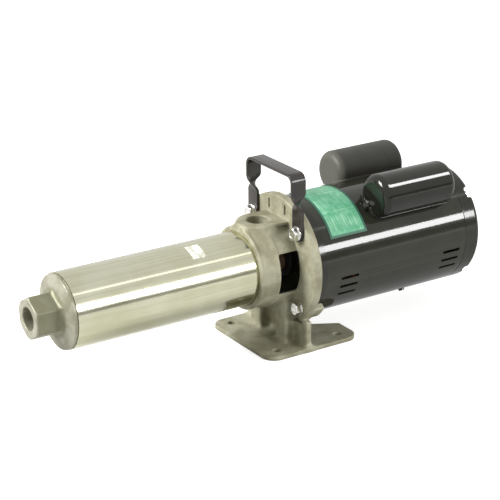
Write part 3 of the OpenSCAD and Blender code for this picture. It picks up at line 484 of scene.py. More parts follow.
def turned_field(p, corners):
    """Distance to a turned solid: the distance from (x, radius) to the nearest side of its outline,
    negative where a ray from the point crosses the outline an odd number of times."""
    x, r = p[X], radius_of(p)
    nearest, inside = np.full_like(x, np.inf), np.zeros_like(x, bool)
    for (ax, ar), (bx, br) in zip(corners, corners[1:] + corners[:1]):
        dx, dr = bx - ax, br - ar
        along = np.clip(((x - ax) * dx + (r - ar) * dr) / (dx ** 2 + dr ** 2), 0, 1)
        nearest = np.minimum(nearest, np.hypot(x - ax - along * dx, r - ar - along * dr))
        if dr:
            inside ^= ((ar > r) != (br > r)) & (x < dx * (r - ar) / dr + ax)
    return np.where(inside, -nearest, nearest)


def join(a, b, fillet):
    """Soft minimum: the smaller field, less h * h * fillet / 4 where the two are alike."""
    h = np.maximum(fillet - np.abs(a - b), 0) / fillet
    return np.minimum(a, b) - h * h * fillet / 4


def join_max(a, b, edge):
    """Soft maximum, for the edge where two faces meet."""
    return -join(-a, -b, edge)


def cut(a, b, edge):
    """Takes b away from a, with the edge of the cut rounded."""
    return join_max(a, -b, edge)


def spun(p, angle):
    """The same points after a turn about the shaft: a shape at an angle is drawn at the top."""
    a = radians(angle)
    y, z = p[Y], p[Z] - AXIS_H
    return p[X], y * cos(a) + z * sin(a), AXIS_H - y * sin(a) + z * cos(a)


print("soft minimum of two equal fields:", join(np.array(1.0), np.array(1.0), 4.0))

# %% The skin of a field
PROBE = 0.2
SETTLE_STEPS = 3
LEAST_SQUARED_SLOPE = 0.25
CAST_SHARP_ANGLE = radians(50)


def steepness(field, points):
    """The field's slope along X, Y and Z, from its values a little to each side."""
    steps = np.eye(3) * PROBE
    return np.stack([(field(tuple((points + s).T)) - field(tuple((points - s).T))) / (2 * PROBE)
                     for s in steps], axis=1)


def edge_ends(axis, others=slice(None)):
    """Indices of the lower and the upper end of every grid edge along one axis."""
    lower, upper = [others] * 3, [others] * 3
    lower[axis], upper[axis] = slice(None, -1), slice(1, None)
    return tuple(lower), tuple(upper)


def skin(field, low, high, pitch):
    """The surface where the field is zero. Space is cut into cells. Each cell that the surface
    crosses gets one point, the mean of the crossings on its twelve edges, and each crossed edge
    gets the face that joins its four cells. Then every point slides down the field's slope."""
    axes = [np.arange(a - 2 * pitch, b + 3 * pitch, pitch) for a, b in zip(low, high)]
    value = field(np.meshgrid(*axes, indexing="ij"))
    inside = value < 0
    cells = tuple(n - 1 for n in value.shape)
    total, count = np.zeros(cells + (3,)), np.zeros(cells)
    for axis in range(3):
        a, b = [i for i in range(3) if i != axis]
        lower, upper = edge_ends(axis)
        v0, v1 = value[lower], value[upper]
        crossed = (v0 < 0) != (v1 < 0)
        share = np.where(crossed, v0 / np.where(crossed, v0 - v1, 1), 0)
        for da, db in ((0, 0), (0, 1), (1, 0), (1, 1)):
            part = [slice(None)] * 3
            part[a], part[b] = slice(da, da + cells[a]), slice(db, db + cells[b])
            seen = crossed[tuple(part)]
            count += seen
            total[..., axis] += share[tuple(part)]
            total[..., a] += da * seen
            total[..., b] += db * seen
    held = count > 0
    number = np.full(cells, -1)
    number[held] = np.arange(held.sum())
    corner = np.stack(np.nonzero(held), axis=1)
    points = np.array([a[0] for a in axes]) + (corner + total[held] / count[held][:, None]) * pitch
    for _ in range(SETTLE_STEPS):
        slope = steepness(field, points)
        size = np.maximum((slope ** 2).sum(axis=1), LEAST_SQUARED_SLOPE)
        move = -(field(tuple(points.T)) / size)[:, None] * slope
        points += np.clip(move, -pitch / 2, pitch / 2)
    faces = [faces_round_edges(inside, number, axis) for axis in range(3)]
    return points * MM, np.concatenate(faces)


def faces_round_edges(inside, number, axis):
    """One face for each grid edge along the axis whose two ends lie on different sides."""
    a, b = [i for i in range(3) if i != axis]
    lower, upper = edge_ends(axis, slice(1, -1))
    change = inside[lower] != inside[upper]
    place = np.stack(np.nonzero(change), axis=1)
    place[:, [a, b]] += 1
    ring = []
    for step in ((-1, -1), (0, -1), (0, 0), (-1, 0)):
        cell = place.copy()
        cell[:, [a, b]] += step
        ring.append(number[tuple(cell.T)])
    return np.stack(ring, axis=1)


def cast(name, field, low, high, pitch):
    """A piece whose shape is the skin of a field. Corners of the search space are in millimetres,
    and the piece is held inside them."""
    points, quads = skin(field, low, high, pitch)
    held = np.clip(points, low * MM, high * MM)
    piece = put_mesh(name, [(held, quads)], CAST_SHARP_ANGLE)
    print(name, len(piece.data.polygons), "faces")
    return piece


def box_mm(node):
    """Corners of a CAD node's box in millimetres."""
    low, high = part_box(node)
    return np.array(low) / MM, np.array(high) / MM


# %% [markdown]
# ## The suction bracket
#
# One casting carries everything. From the front it has a socket for the tube with a raised bead,
# the suction boss on top, the open cage with a window on each side, the round motor flange with a
# thicker pad on each side below, and two legs with a cross wall on the foot plate. Its field adds
# these one by one, each with the fillet that the pattern maker gave it, and then takes away what
# the machine shop bores.

# %% Build the suction bracket
FLANGE_R, FLANGE_T = 90, 12
CAGE_R, CAGE_L = 58, 32
X_CAGE = -FLANGE_T - CAGE_L
X_RIM = X_CAGE - 29
RIM_R, BEAD_R, BEAD_L = 55, 56.5, 4
BOSS_R, BOSS_TOP = 29, AXIS_H + 61.5
WEB_HALF_W, WEB_LIP, WEB_SLOPE, WEB_SLOPE_L = 28, 3, 1.5, 1.8
PORT_X, PORT_R = X_CAGE + 2, 15.2
PORT = (PORT_X, 0, 0)
SOCKET_R, CHAMBER_R, SEAL_BORE_R, REGISTER_R = 50.05, 45, 14, 57.2
BOLT_CIRCLE, BOLT_HOLE_R = 74.6, 5.3
BOLT_ANGLES = (45, 135, 225, 315)
BOLT_Y = BOLT_CIRCLE * sin(radians(45))
AT_BOLT = (0, 0, AXIS_H + BOLT_CIRCLE)
LEG_IN, LEG_OUT, LEG_DEPTH, LEG_TOP = 18, 42, 15, AXIS_H - 36
STAND_X, WALL_HALF_W, WALL_TOP = -4, 71, 42
FOOT_HALF_L, FOOT_HALF_W, FOOT_T, FOOT_CORNER = 73, 75, 6, 20
FOOT_HOLE, FOOT_HOLE_R = (49, 55, 0), 5.5
NOTCH_X, NOTCH_R, NOTCH_RISE, NOTCH_RUN = 39, 8, 19, 34
OPEN_Y, OPEN_L, OPEN_HALF_X = 42, 20, 30
OPEN_LOW, OPEN_HIGH, OPEN_TIP = 36, 47, 38
SLOT_LOW, SLOT_HIGH = (-30, 17, AXIS_H + 67), (20, 20, AXIS_H + 81)
PAD_ANGLE, PAD_HALF_W, PAD_L, PAD_LOW_R = 133, 12, 16, 81.7
WINDOW_HALF_H = CAGE_R * sin(radians(29))
BRACKET_PITCH = 1.4


def bracket_body(p):
    """Barrel, cage, boss, web and flange. Below its lip the web falls back at a slope."""
    barrel = turned_field(p, [
        (X_RIM + .8, 0), (X_RIM + .8, BEAD_R - 1.5), (X_RIM + 1.5, BEAD_R),
        (X_RIM + BEAD_L, BEAD_R), (X_RIM + BEAD_L + 1.5, RIM_R), (X_CAGE, CAGE_R),
        (X_CAGE, 0)]) - 0.4
    body = join(barrel, shaft_rod(p, CAGE_R, X_CAGE - 4, -2, 1), 3)
    boss = rod_field(p, Z, PORT, BOSS_R, AXIS_H, BOSS_TOP, 2.2)
    web = box_field(p, (PORT_X, -WEB_HALF_W, AXIS_H), (-FLANGE_T / 2, WEB_HALF_W, BOSS_TOP), 1.2)
    below_lip = BOSS_TOP - WEB_LIP - p[Z]
    web = np.maximum(web, (np.abs(p[Y]) - WEB_HALF_W + below_lip * WEB_SLOPE) / WEB_SLOPE_L)
    body = np.minimum(join(body, boss, 9), join(body, join(boss, web, 0.8), 1))
    return join(body, shaft_rod(p, FLANGE_R, -FLANGE_T, 0, 1.6), 2.5)


def bracket_stand(p):
    """Foot plate with round corners in plan, two legs and the wall across."""
    x, y, z = p
    foot = box_field(p, (-FOOT_HALF_L, -FOOT_HALF_W, 0), (FOOT_HALF_L, FOOT_HALF_W, FOOT_T), 1)
    plan = np.hypot(np.maximum(np.abs(x) - (FOOT_HALF_L - FOOT_CORNER), 0),
                    np.maximum(np.abs(y) - (FOOT_HALF_W - FOOT_CORNER), 0)) - FOOT_CORNER
    leg = box_field((x, np.abs(y), z), (-FLANGE_T - LEG_DEPTH, LEG_IN, 3),
                    (STAND_X, LEG_OUT, LEG_TOP), 2.5)
    wall = box_field(p, (-FLANGE_T, -WALL_HALF_W, 3), (STAND_X, WALL_HALF_W, WALL_TOP), 1.6)
    return join(join(leg, wall, 5), join_max(foot, plan, 0.8), 9)


def bracket_pads(p):
    """The flange's thicker pads: blocks at an angle, kept between two radii."""
    pads = [box_field(spun(p, side * PAD_ANGLE), (-6, -PAD_HALF_W, AXIS_H + PAD_LOW_R - 8),
                      (PAD_L, PAD_HALF_W, AXIS_H + FLANGE_R + 4), 3.5) for side in (-1, 1)]
    pads = cut(np.minimum(*pads), radius_of(p) - PAD_LOW_R, 1)
    return cut(pads, FLANGE_R - radius_of(p), 2)


def bracket_cuts(p, solid):
    """Bores, windows, slots and holes, each with a lightly broken edge."""
    x, y, z = p
    chimney = rod_field(p, Z, PORT, PORT_R + 4, AXIS_H + WINDOW_HALF_H + 1, BEYOND, 1)
    dry = cut(shaft_rod(p, CAGE_R - 4, X_CAGE, 40, 1.5), chimney, 2)
    window = box_field(p, (X_CAGE, -200, AXIS_H - WINDOW_HALF_H),
                       (-FLANGE_T, 200, AXIS_H + WINDOW_HALF_H), 4)
    for hollow in (shaft_rod(p, SOCKET_R, X_RIM - 9, X_RIM + 10, 0.3),
                   shaft_rod(p, CHAMBER_R, X_RIM, X_CAGE - 5, 1),
                   shaft_rod(p, SEAL_BORE_R, X_CAGE - 12, X_CAGE + 9, 0.3),
                   dry, window,
                   shaft_rod(p, REGISTER_R, -4, 30, 0.3),
                   rod_field(p, Z, PORT, PORT_R, BOSS_TOP - 16, BEYOND, 0.5),
                   rod_field(p, Z, PORT, PORT_R - 1.2, AXIS_H + 33, BEYOND, 0.5)):
        solid = cut(solid, hollow, 0.9)
    solid = cut(solid, box_field((x, np.abs(y), z), SLOT_LOW, SLOT_HIGH, 1.2), 0.6)
    for angle in BOLT_ANGLES:
        hole = rod_field(spun(p, angle), X, AT_BOLT, BOLT_HOLE_R, -40, 20, 0.3)
        solid = cut(solid, hole, 0.6)
    foot_hole = rod_field((np.abs(x), np.abs(y), z), Z, FOOT_HOLE, FOOT_HOLE_R, -9, 20, 0.3)
    spread = np.maximum(x - NOTCH_X, 0) * NOTCH_RISE / NOTCH_RUN
    notch = np.maximum(np.abs(y) - NOTCH_R - spread, NOTCH_X - x)
    notch = np.minimum(notch, np.hypot(x - NOTCH_X, y) - NOTCH_R)
    return cut(cut(solid, foot_hole, 0.8), np.maximum(notch, z - 12), 0.8)


def bracket_field(p):
    """The whole casting. The wall's openings narrow from each leg outwards."""
    solid = join(join(bracket_body(p), bracket_stand(p), 8), bracket_pads(p), 2.5)
    past_leg = np.abs(p[Y]) - OPEN_Y
    low_edge = (OPEN_LOW - p[Z]) + past_leg * (OPEN_TIP - OPEN_LOW) / OPEN_L
    high_edge = (p[Z] - OPEN_HIGH) + past_leg * (OPEN_HIGH - OPEN_TIP) / OPEN_L
    opening = np.maximum(np.maximum(low_edge, high_edge) / 1.1, -past_leg)
    opening = np.maximum(opening, np.abs(p[X]) - OPEN_HALF_X)
    return bracket_cuts(p, cut(solid, opening, 1.5))


bracket = cast("bracket_casting", bracket_field, *box_mm("suction_bracket"), BRACKET_PITCH)

# %% [markdown]
# ## Discharge head
#
# The head closes the far end of the tube. A hexagon for the pipe wrench grows out of a shallow
# cone, and a step leads to the rim on the tube's edge. It is cast and then turned, so the cone runs
# softly into the hexagon, while the rim is crisp. The same kind of field makes it.

# %% Build the discharge head
HEAD_LOW, HEAD_HIGH = box_mm("discharge_head")
HEX_FLATS, HEX_L = 50, 35
X_HEX, X_CONE_END = HEAD_LOW[X], HEAD_LOW[X] + HEX_L + 5.5
X_HEAD_RIM = X_CONE_END + 4.5
HEAD_PLUG_R, GROOVE_R = 47.8, 44.5
HEAD_PITCH = 1.0


def hexagon_field(p, flats, low, high, edge):
    """Six flats and two ends: the largest of |distance along each flat's normal| - half width."""
    y, z = p[Y], p[Z] - AXIS_H
    sides = [np.abs(y * sin(a) + z * cos(a)) - flats / 2 for a in np.radians([30, 90, 150])]
    side = join_max(join_max(sides[0], sides[1], edge), sides[2], edge)
    return join_max(side, np.abs(p[X] - (low + high) / 2) - (high - low) / 2, edge)


def head_field(p):
    hexagon = hexagon_field(p, HEX_FLATS, X_HEX, X_CONE_END, 1.6)
    chamfer = turned_field(p, [(X_HEX, 0), (X_HEX, 25.6), (X_HEX + 4, 29.4), (X_CONE_END, 29.4),
                               (X_CONE_END, 0)])
    cone = turned_field(p, [
        (X_HEX + HEX_L - 1, 0), (X_HEX + HEX_L - 1, 28), (X_CONE_END - .6, 46.2),
        (X_CONE_END - .3, 48.5), (X_HEAD_RIM, 48.7), (X_HEAD_RIM, HEAD_PLUG_R),
        (X_HEAD_RIM + 16, HEAD_PLUG_R), (X_HEAD_RIM + 16, 0)])
    solid = join(join_max(hexagon, chamfer, 1), cone, 5)
    bore = shaft_rod(p, PORT_R, X_HEX - 10, X_HEX + 16, 0.5)
    funnel = turned_field(p, [(X_HEX + 10, 0), (X_HEX + 10, 14), (X_CONE_END, 14),
                              (X_HEAD_RIM + 17, 35), (X_HEAD_RIM + 17, 0)])
    groove = np.maximum(np.abs(p[X] - X_HEAD_RIM - 8) - 2, GROOVE_R - radius_of(p))
    return cut(cut(cut(solid, bore, 1.2), funnel, 0.8), groove, 0.3)


head = cast("discharge_head_casting", head_field, HEAD_LOW, HEAD_HIGH, HEAD_PITCH)

# %% [markdown]
# ## Rear end bell
#
# The die-cast bell closes the motor. Its outer edge is well rounded, and four pockets at the long
# bolts break the round outline. One can see them against the light at the top right.

# %% Build the rear end bell
BELL_LOW, BELL_HIGH = box_mm("rear_end_bell")
MOTOR_R = BELL_HIGH[Y]
X_SHELL_END = BELL_LOW[X] + 6
BELL_PITCH = 1.2
BELL_WALL, BELL_HUB_R, BELL_BOSS_R, BELL_BORE_R = 5, 26, 12, 20.05
POCKET_R, POCKET_DEPTH = 9.5, 9
RING_R, RING_EDGE = 62.5, 1.2
INLET, INLET_RIM_R, INLET_R = (X_SHELL_END + 11.2, 0, AXIS_H), 10.3, 8.05


def bell_field(p):
    """Round cup with a spigot, less its cavity, which leaves a hub and a boss round each bolt."""
    solid = shaft_rod(p, MOTOR_R, X_SHELL_END - 40, BELL_HIGH[X], 6)
    solid = np.maximum(solid, X_SHELL_END + 0.1 - p[X])
    spigot = shaft_rod(p, MOTOR_R - 1.7, X_SHELL_END - 6, X_SHELL_END + 4, .3)
    solid = np.minimum(solid, spigot)
    cavity = shaft_rod(p, MOTOR_R - BELL_WALL, X_SHELL_END - 20, BELL_HIGH[X] - BELL_WALL, 3)
    cavity = cut(cavity, shaft_rod(p, BELL_HUB_R, X_SHELL_END - 30, BELL_HIGH[X] + 9, 1), 3)
    seats = [spun(p, angle) for angle in BOLT_ANGLES]
    for seat in seats:
        boss = rod_field(seat, X, AT_BOLT, BELL_BOSS_R, X_SHELL_END, BEYOND, 1)
        cavity = cut(cavity, boss, 2)
    solid = cut(solid, cavity, 1)
    for seat in seats:
        pocket = rod_field(seat, X, AT_BOLT, POCKET_R, BELL_HIGH[X] - POCKET_DEPTH, BEYOND, 1.5)
        solid = cut(solid, pocket, 1.5)
    solid = cut(solid, shaft_rod(p, BELL_BORE_R, X_SHELL_END - 30, X_SHELL_END + 16.5, .3), .3)
    step = np.maximum(np.abs(radius_of(p) - RING_R) - RING_EDGE, BELL_HIGH[X] - RING_EDGE - p[X])
    solid = cut(solid, step, 0.8)
    solid = cut(solid, rod_field(p, Y, INLET, INLET_RIM_R, MOTOR_R - 1.5, MOTOR_R + 9, .5), .5)
    return cut(solid, rod_field(p, Y, INLET, INLET_R, MOTOR_R - 9, MOTOR_R + 9, .3), .3)


bell = cast("rear_bell_casting", bell_field, BELL_LOW, BELL_HIGH, BELL_PITCH)

# %% [markdown]
# ## Capacitor covers
#
# Two drawn steel cans lie on the motor's shoulders. Each is a round can with softly rolled ends,
# open where it meets the motor, with a tab at each end for its screw. The sheet is thin, so the
# field is the can less a smaller can. The wall stays thicker than a cell's diagonal, so that its
# two sides never share a cell.

# %% Build the capacitor covers
COVER_R, COVER_WALL, COVER_EDGE = 29.9, 2.0, 10.5
LIP_W, LIP_T, RUN_COVER_SHORTER = 2.6, 1.5, 10
COVER_OFFSET, COVER_ANGLE = MOTOR_R + 18.6, 35.4
COVER_LOW, COVER_HIGH = box_mm("start_capacitor_cover")
TAB_L, TAB_W, TAB_T = 10, 14, 1.4
X_COVER, X_COVER_END = COVER_LOW[X] + TAB_L, COVER_HIGH[X] - TAB_L
COVER_FLOOR, COVER_PITCH = AXIS_H + 70, 1.1


def cover_field(p, front):
    """A cover at the top of the motor, before it is turned to its side. Its lip is a slightly
    larger can, kept only where it lies close to the motor."""
    def can(grown, edge):
        return rod_field(p, X, (0, 0, AXIS_H + COVER_OFFSET), COVER_R + grown, front - grown,
                         X_COVER_END + grown, edge)

    tab = box_field(p, (X_COVER - TAB_L, -TAB_W / 2, AXIS_H),
                    (X_COVER_END + TAB_L, TAB_W / 2, AXIS_H + MOTOR_R + TAB_T), 0.5)
    from_shaft = radius_of(p)
    lip = join_max(can(LIP_W, COVER_EDGE), from_shaft - MOTOR_R - LIP_T, 0.6)
    hollow = can(-COVER_WALL, COVER_EDGE - COVER_WALL)
    shape = cut(join(join(can(0, COVER_EDGE), tab, 3), lip, 1.5), hollow, 0.4)
    return np.maximum(shape, MOTOR_R + 0.06 - from_shaft)


def make_cover(name, side, front):
    low = np.array([X_COVER - TAB_L, -COVER_R - 3, COVER_FLOOR])
    high = np.array([X_COVER_END + TAB_L, COVER_R + 3, AXIS_H + COVER_OFFSET + COVER_R])
    points, quads = skin(lambda p: cover_field(p, front), low, high, COVER_PITCH)
    return put_mesh(name, [moved((points, quads), about_shaft(side * COVER_ANGLE))])


start_cover = make_cover("start_cover_can", 1, X_COVER)
run_cover = make_cover("run_cover_can", -1, X_COVER + RUN_COVER_SHORTER)
print("covers from", X_COVER, "to", X_COVER_END, "mm")

# %% [markdown]
# ## Carrying handle
#
# The handle is one flat steel strap. Its ends lie flat under the two upper flange bolts. Above them
# each leg is twisted by a quarter turn, so that the hand meets the strap's broad side. It is made
# by carrying a rounded section along the strap's path while its width turns.

# %% Build the handle
STRAP_W, STRAP_T, STRAP_EDGE = 22.5, 4, 1.1
HANDLE_TOP = box_mm("carrying_handle")[1][Z] - STRAP_T / 2
STRAP_X = -FLANGE_T - STRAP_T / 2
BEND_R = 10
TWIST_LOW = AXIS_H + 82.7
TWIST_L = 24
TAB_LOW = AXIS_H + BOLT_Y - STRAP_W / 2


def strap_path():
    """The middle of the strap: up the near leg, round a quarter bend, across, and down again."""
    rise = np.concatenate([np.linspace(TAB_LOW + .05, TAB_LOW + STRAP_W / 2, 14),
                           np.linspace(TAB_LOW + STRAP_W / 2 + 2, HANDLE_TOP - BEND_R, 60)])
    leg = np.stack([np.full_like(rise, -BOLT_Y), rise], axis=1)
    turn = np.radians(np.linspace(0, 90, 12)[1:])
    bend = np.stack([-BOLT_Y + BEND_R * (1 - np.cos(turn)),
                     HANDLE_TOP - BEND_R * (1 - np.sin(turn))], axis=1)
    half = np.concatenate([leg, bend])
    return np.concatenate([half, half[::-1] * (-1, 1)])


def strap_grid():
    """A rounded rectangle at each point of the path. Its width turns from Y to X by the twist
    angle, smoothly from 0 to 90 degrees, and shrinks as a half circle at the tab's round end."""
    path = strap_path()
    way = np.gradient(path, axis=0)
    way /= np.linalg.norm(way, axis=1, keepdims=True)
    share = np.clip((path[:, 1] - TWIST_LOW) / TWIST_L, 0, 1)
    twist = (share * share * (3 - 2 * share) * np.pi / 2)[:, None]
    side = np.sign(path[:, :1])
    flat = np.stack([0 * way[:, 0], way[:, 1], -way[:, 0]], axis=1)
    width_way = np.sin(twist) * np.array([[1.0, 0, 0]]) - side * np.cos(twist) * flat
    tangent = np.stack([0 * way[:, 0], way[:, 0], way[:, 1]], axis=1)
    thick_way = np.cross(tangent, width_way)
    below = np.maximum(TAB_LOW + STRAP_W / 2 - path[:, 1], 0)
    tab_half_w = np.sqrt(np.maximum((STRAP_W / 2) ** 2 - below ** 2, 0.01))
    half_w, half_t = STRAP_W / 2, STRAP_T / 2
    corner = soften([(-half_w, -half_t, STRAP_EDGE), (half_w, -half_t, STRAP_EDGE),
                     (half_w, half_t, STRAP_EDGE), (-half_w, half_t, STRAP_EDGE)])
    centre = np.stack([np.full(len(path), STRAP_X), path[:, 0], path[:, 1]], axis=1)
    wide = corner[None, :, :1] * (tab_half_w / half_w)[:, None, None]
    points = centre[:, None] + wide * width_way[:, None] + corner[None, :, 1:] * thick_way[:, None]
    ends = np.repeat(points[[0, -1]].mean(axis=1, keepdims=True), len(corner), axis=1)
    points = np.concatenate([ends[:1], points, ends[1:]])
    return points * MM, grid_quads(len(points), len(corner), False, True)


strap = put_mesh("strap_handle", [strap_grid()])
print("strap:", len(strap.data.polygons), "faces, top at", round(HANDLE_TOP, 1), "mm")

# %% [markdown]
# ## Bolts, washers and rivets
#
# A bolt head is a short turned rod whose radius is cut down to six flats, with a chamfer on its
# outer rim. Each is made on the shaft axis and then moved out to its place on the bolt circle.

# %% Build the flange bolts and washers
BOLT_FLATS, HEAD_L, SHANK_R, SHANK_END = 16, 7, 4.76, 11
WASHER_R, WASHER_HOLE_R, WASHER_T = 10, 5.4, 1.5


def place_on_circle(part, angle):
    return moved(part, about_shaft(angle) @ Matrix.Translation((0, 0, BOLT_CIRCLE * MM)))


def seat_of(angle):
    """Where a washer lies: on the handle's tab at the top, on the flange below."""
    return -FLANGE_T - (STRAP_T if cos(radians(angle)) > 0 else 0)


def bolt_parts(angle):
    """The head: a chamfered hexagon with a shallow dish, and the shank below it."""
    top, corner_r = seat_of(angle) - WASHER_T - HEAD_L, BOLT_FLATS / 2 * HEX_CORNER
    head = [(top + 0.7, AXIS_TIP, 0), (top + 0.7, 4.4, 0.2), (top, 4.9, 0.3),
            (top, corner_r - 1.3, 0.3), (top + 1, corner_r + 0.2, 0.3),
            (top + HEAD_L, corner_r + 0.2, 0.2), (top + HEAD_L, AXIS_TIP, 0)]
    shank = [(top + HEAD_L, AXIS_TIP, 0), (top + HEAD_L, SHANK_R, 0.1),
             (SHANK_END, SHANK_R, 0.8), (SHANK_END, AXIS_TIP, 0)]
    head = turned(soften(np.array(head) * MM, 4), 96, BOLT_FLATS * MM)
    shank = turned(soften(np.array(shank) * MM, 3), 32)
    return [place_on_circle(head, angle), place_on_circle(shank, angle)]


def washer_part(angle):
    seat = seat_of(angle)
    line = [(seat - WASHER_T, WASHER_HOLE_R, 0.2), (seat - WASHER_T, WASHER_R, 0.4),
            (seat, WASHER_R, 0.3), (seat, WASHER_HOLE_R, 0.2)]
    return place_on_circle(turned(soften(np.array(line) * MM), 64), angle)


bolts = put_mesh("flange_bolt_set", [part for angle in BOLT_ANGLES for part in bolt_parts(angle)])
washers = put_mesh("flange_washer_set", [washer_part(angle) for angle in BOLT_ANGLES])
print("bolts:", len(bolts.data.polygons), "faces")

# %% Build the nameplate's rivets and the blank label
PLATE_LOW, PLATE_HIGH = box_mm("nameplate")
PLATE_ANGLES = (-20.5, 59.5)
PLATE_T, RIVET_R, RIVET_H = 0.6, 1.5, 0.6
LABEL_X, LABEL_ANGLES, LABEL_T = (-159, -140), (8, 36), 0.15
SHELL_R = 50.0


def rivet_part(x, angle):
    """A low dome on the plate: its outline is a quarter ellipse."""
    base = MOTOR_R + PLATE_T
    t = np.linspace(0, np.pi / 2, 8)
    dome = np.stack([RIVET_H * np.sin(t), RIVET_R * np.cos(t)], 1)
    line = np.concatenate([[(-0.3, AXIS_TIP), (-0.3, RIVET_R)], dome])
    line[-1, 1] = AXIS_TIP
    points, quads = turned(line * MM, 20)
    up = Matrix.Rotation(radians(-90), 4, "Y")
    up = Matrix.Translation((x * MM, 0, SHAFT_Z + base * MM)) @ up
    return moved(moved((points - (0, 0, SHAFT_Z), quads), up), about_shaft(angle))


def label_part():
    (x1, x2), outer = LABEL_X, SHELL_R + LABEL_T
    line = [(x1, SHELL_R), (x2, SHELL_R), (x2, outer), (x1, outer)]
    return sector(np.array(line) * MM, *LABEL_ANGLES)


rivets = put_mesh("plate_rivets", [rivet_part(x, a) for x in (PLATE_LOW[X] + 3, PLATE_HIGH[X] - 3)
                                   for a in (PLATE_ANGLES[0] + 2.2, PLATE_ANGLES[1] - 2.2)])
label = put_mesh("blank_label", [label_part()])
print("rivets and label ready")

# %% [markdown]
# ## Finishes
#
# Each finish is a small function that returns what feeds the Principled shader. All patterns read
# object coordinates, in metres, so a noise scale of 900 gives a grain of about a millimetre. Edges
# and hollows come from Pointiness: paint wears to a lighter tone on edges, and on the castings the
# corners are darkened as painted shade.

# %% Families of finishes


def shade(colour, share):
    """The colour made darker or lighter."""
    return tuple(c * share for c in colour)


def casting_finish(light, dark, metallic, rough):
    """Sand-cast iron: mottled, grainy, lighter on edges, with painted shade in its corners."""
    def make(tree):
        shape = tree.edges()
        grain = tree.noise(900, 4.0, 0.6)
        cloud = tree.noise(45, 3.0)
        colour = tree.blend(cloud.band(0.35, 0.65), dark, light)
        # Painted shade: where Pointiness is low, in hollows and corners, the colour is pulled towards a very dark
        # tone.
        colour = tree.blend(shape.band(0.49, 0.40) * 0.75, colour, shade(dark, 0.35))
        colour = tree.blend(shape.band(0.53, 0.62) * 0.45, colour, shade(light, 1.35))
        colour = tree.blend(grain.band(0.52, 0.72) * 0.35, colour, shade(dark, 0.55))
        return {"Base Color": colour, "Roughness": rough + 0.2 * grain, "Metallic": metallic,
                "Normal": tree.bump(grain * 0.7 + cloud * 0.3, 0.0004, 0.5)}
    return make


def drawn_metal(light, dark, rough, streak=(7, 420, 420), depth=0.00004):
    """Bare metal with streaks along X, as from drawing or polishing, and a faint cloudy stain."""
    def make(tree):
        line = tree.noise(1.0, 5.0, 0.65, tree.stretch(tree.place(), streak))
        cloud = tree.noise(14, 2.0)
        colour = tree.blend((line * 0.5 + cloud * 0.5).band(0.38, 0.62), dark, light)
        roughness = rough + 0.10 * (line - 0.5) + 0.08 * (cloud - 0.5)
        return {"Base Color": colour, "Roughness": roughness, "Metallic": 1.0,
                "Normal": tree.bump(line, depth, 0.4)}
    return make


PAINT_IOR = 1.41


def gloss_paint(colour, rough, peel=0.00005, grain_scale=320):
    """Sprayed enamel: a nearly even colour with orange peel, dust and thin edges."""
    def make(tree):
        shape = tree.edges()
        peel_height = tree.noise(grain_scale, 2.0)
        dust = tree.noise(1500, 2.0)
        cloud = tree.noise(25, 2.0)
        tone = tree.blend(cloud.band(0.3, 0.7), colour, shade(colour, 1.4))
        tone = tree.blend(shape.band(0.56, 0.70) * 0.5, tone, shade(colour, 3))
        roughness = rough + 0.06 * (cloud - 0.5) + 0.08 * dust.band(0.62, 0.75)
        return {"Base Color": tone, "Roughness": roughness, "IOR": PAINT_IOR,
                "Normal": tree.bump(peel_height, peel, 0.6)}
    return make


def moulded(colour, rough, grain_scale=700, depth=0.00008):
    """Plastic, rubber or ceramic from a mould: a fine even skin and slight changes of tone."""
    def make(tree):
        skin_height = tree.noise(grain_scale, 3.0)
        cloud = tree.noise(60, 2.0)
        tone = tree.blend(cloud.band(0.3, 0.7), shade(colour, 0.86), colour)
        return {"Base Color": tone, "Roughness": rough + 0.15 * (skin_height - 0.5),
                "Normal": tree.bump(skin_height, depth, 0.5)}
    return make


def layered(light, dark, pitch_mm, rough, metallic, axis="X"):
    """Stacked sheets or wound wire: bands of one pitch along an axis, blurred by noise."""
    def make(tree):
        turn = tree.part(tree.place(), axis) * (2 * pi / (pitch_mm * MM))
        wave = tree.maths("SINE", turn) * 0.5 + 0.5
        cloud = tree.noise(120, 2.0)
        tone = tree.blend((wave * 0.6 + cloud * 0.4).band(0.2, 0.8), dark, light)
        return {"Base Color": tone, "Roughness": rough + 0.2 * (cloud - 0.5), "Metallic": metallic,
                "Normal": tree.bump(wave, pitch_mm * MM * 0.2, 0.7)}
    return make


# %% The green nameplate and the blank label
PLATE_ROWS, PLATE_COLUMNS = 7, 3


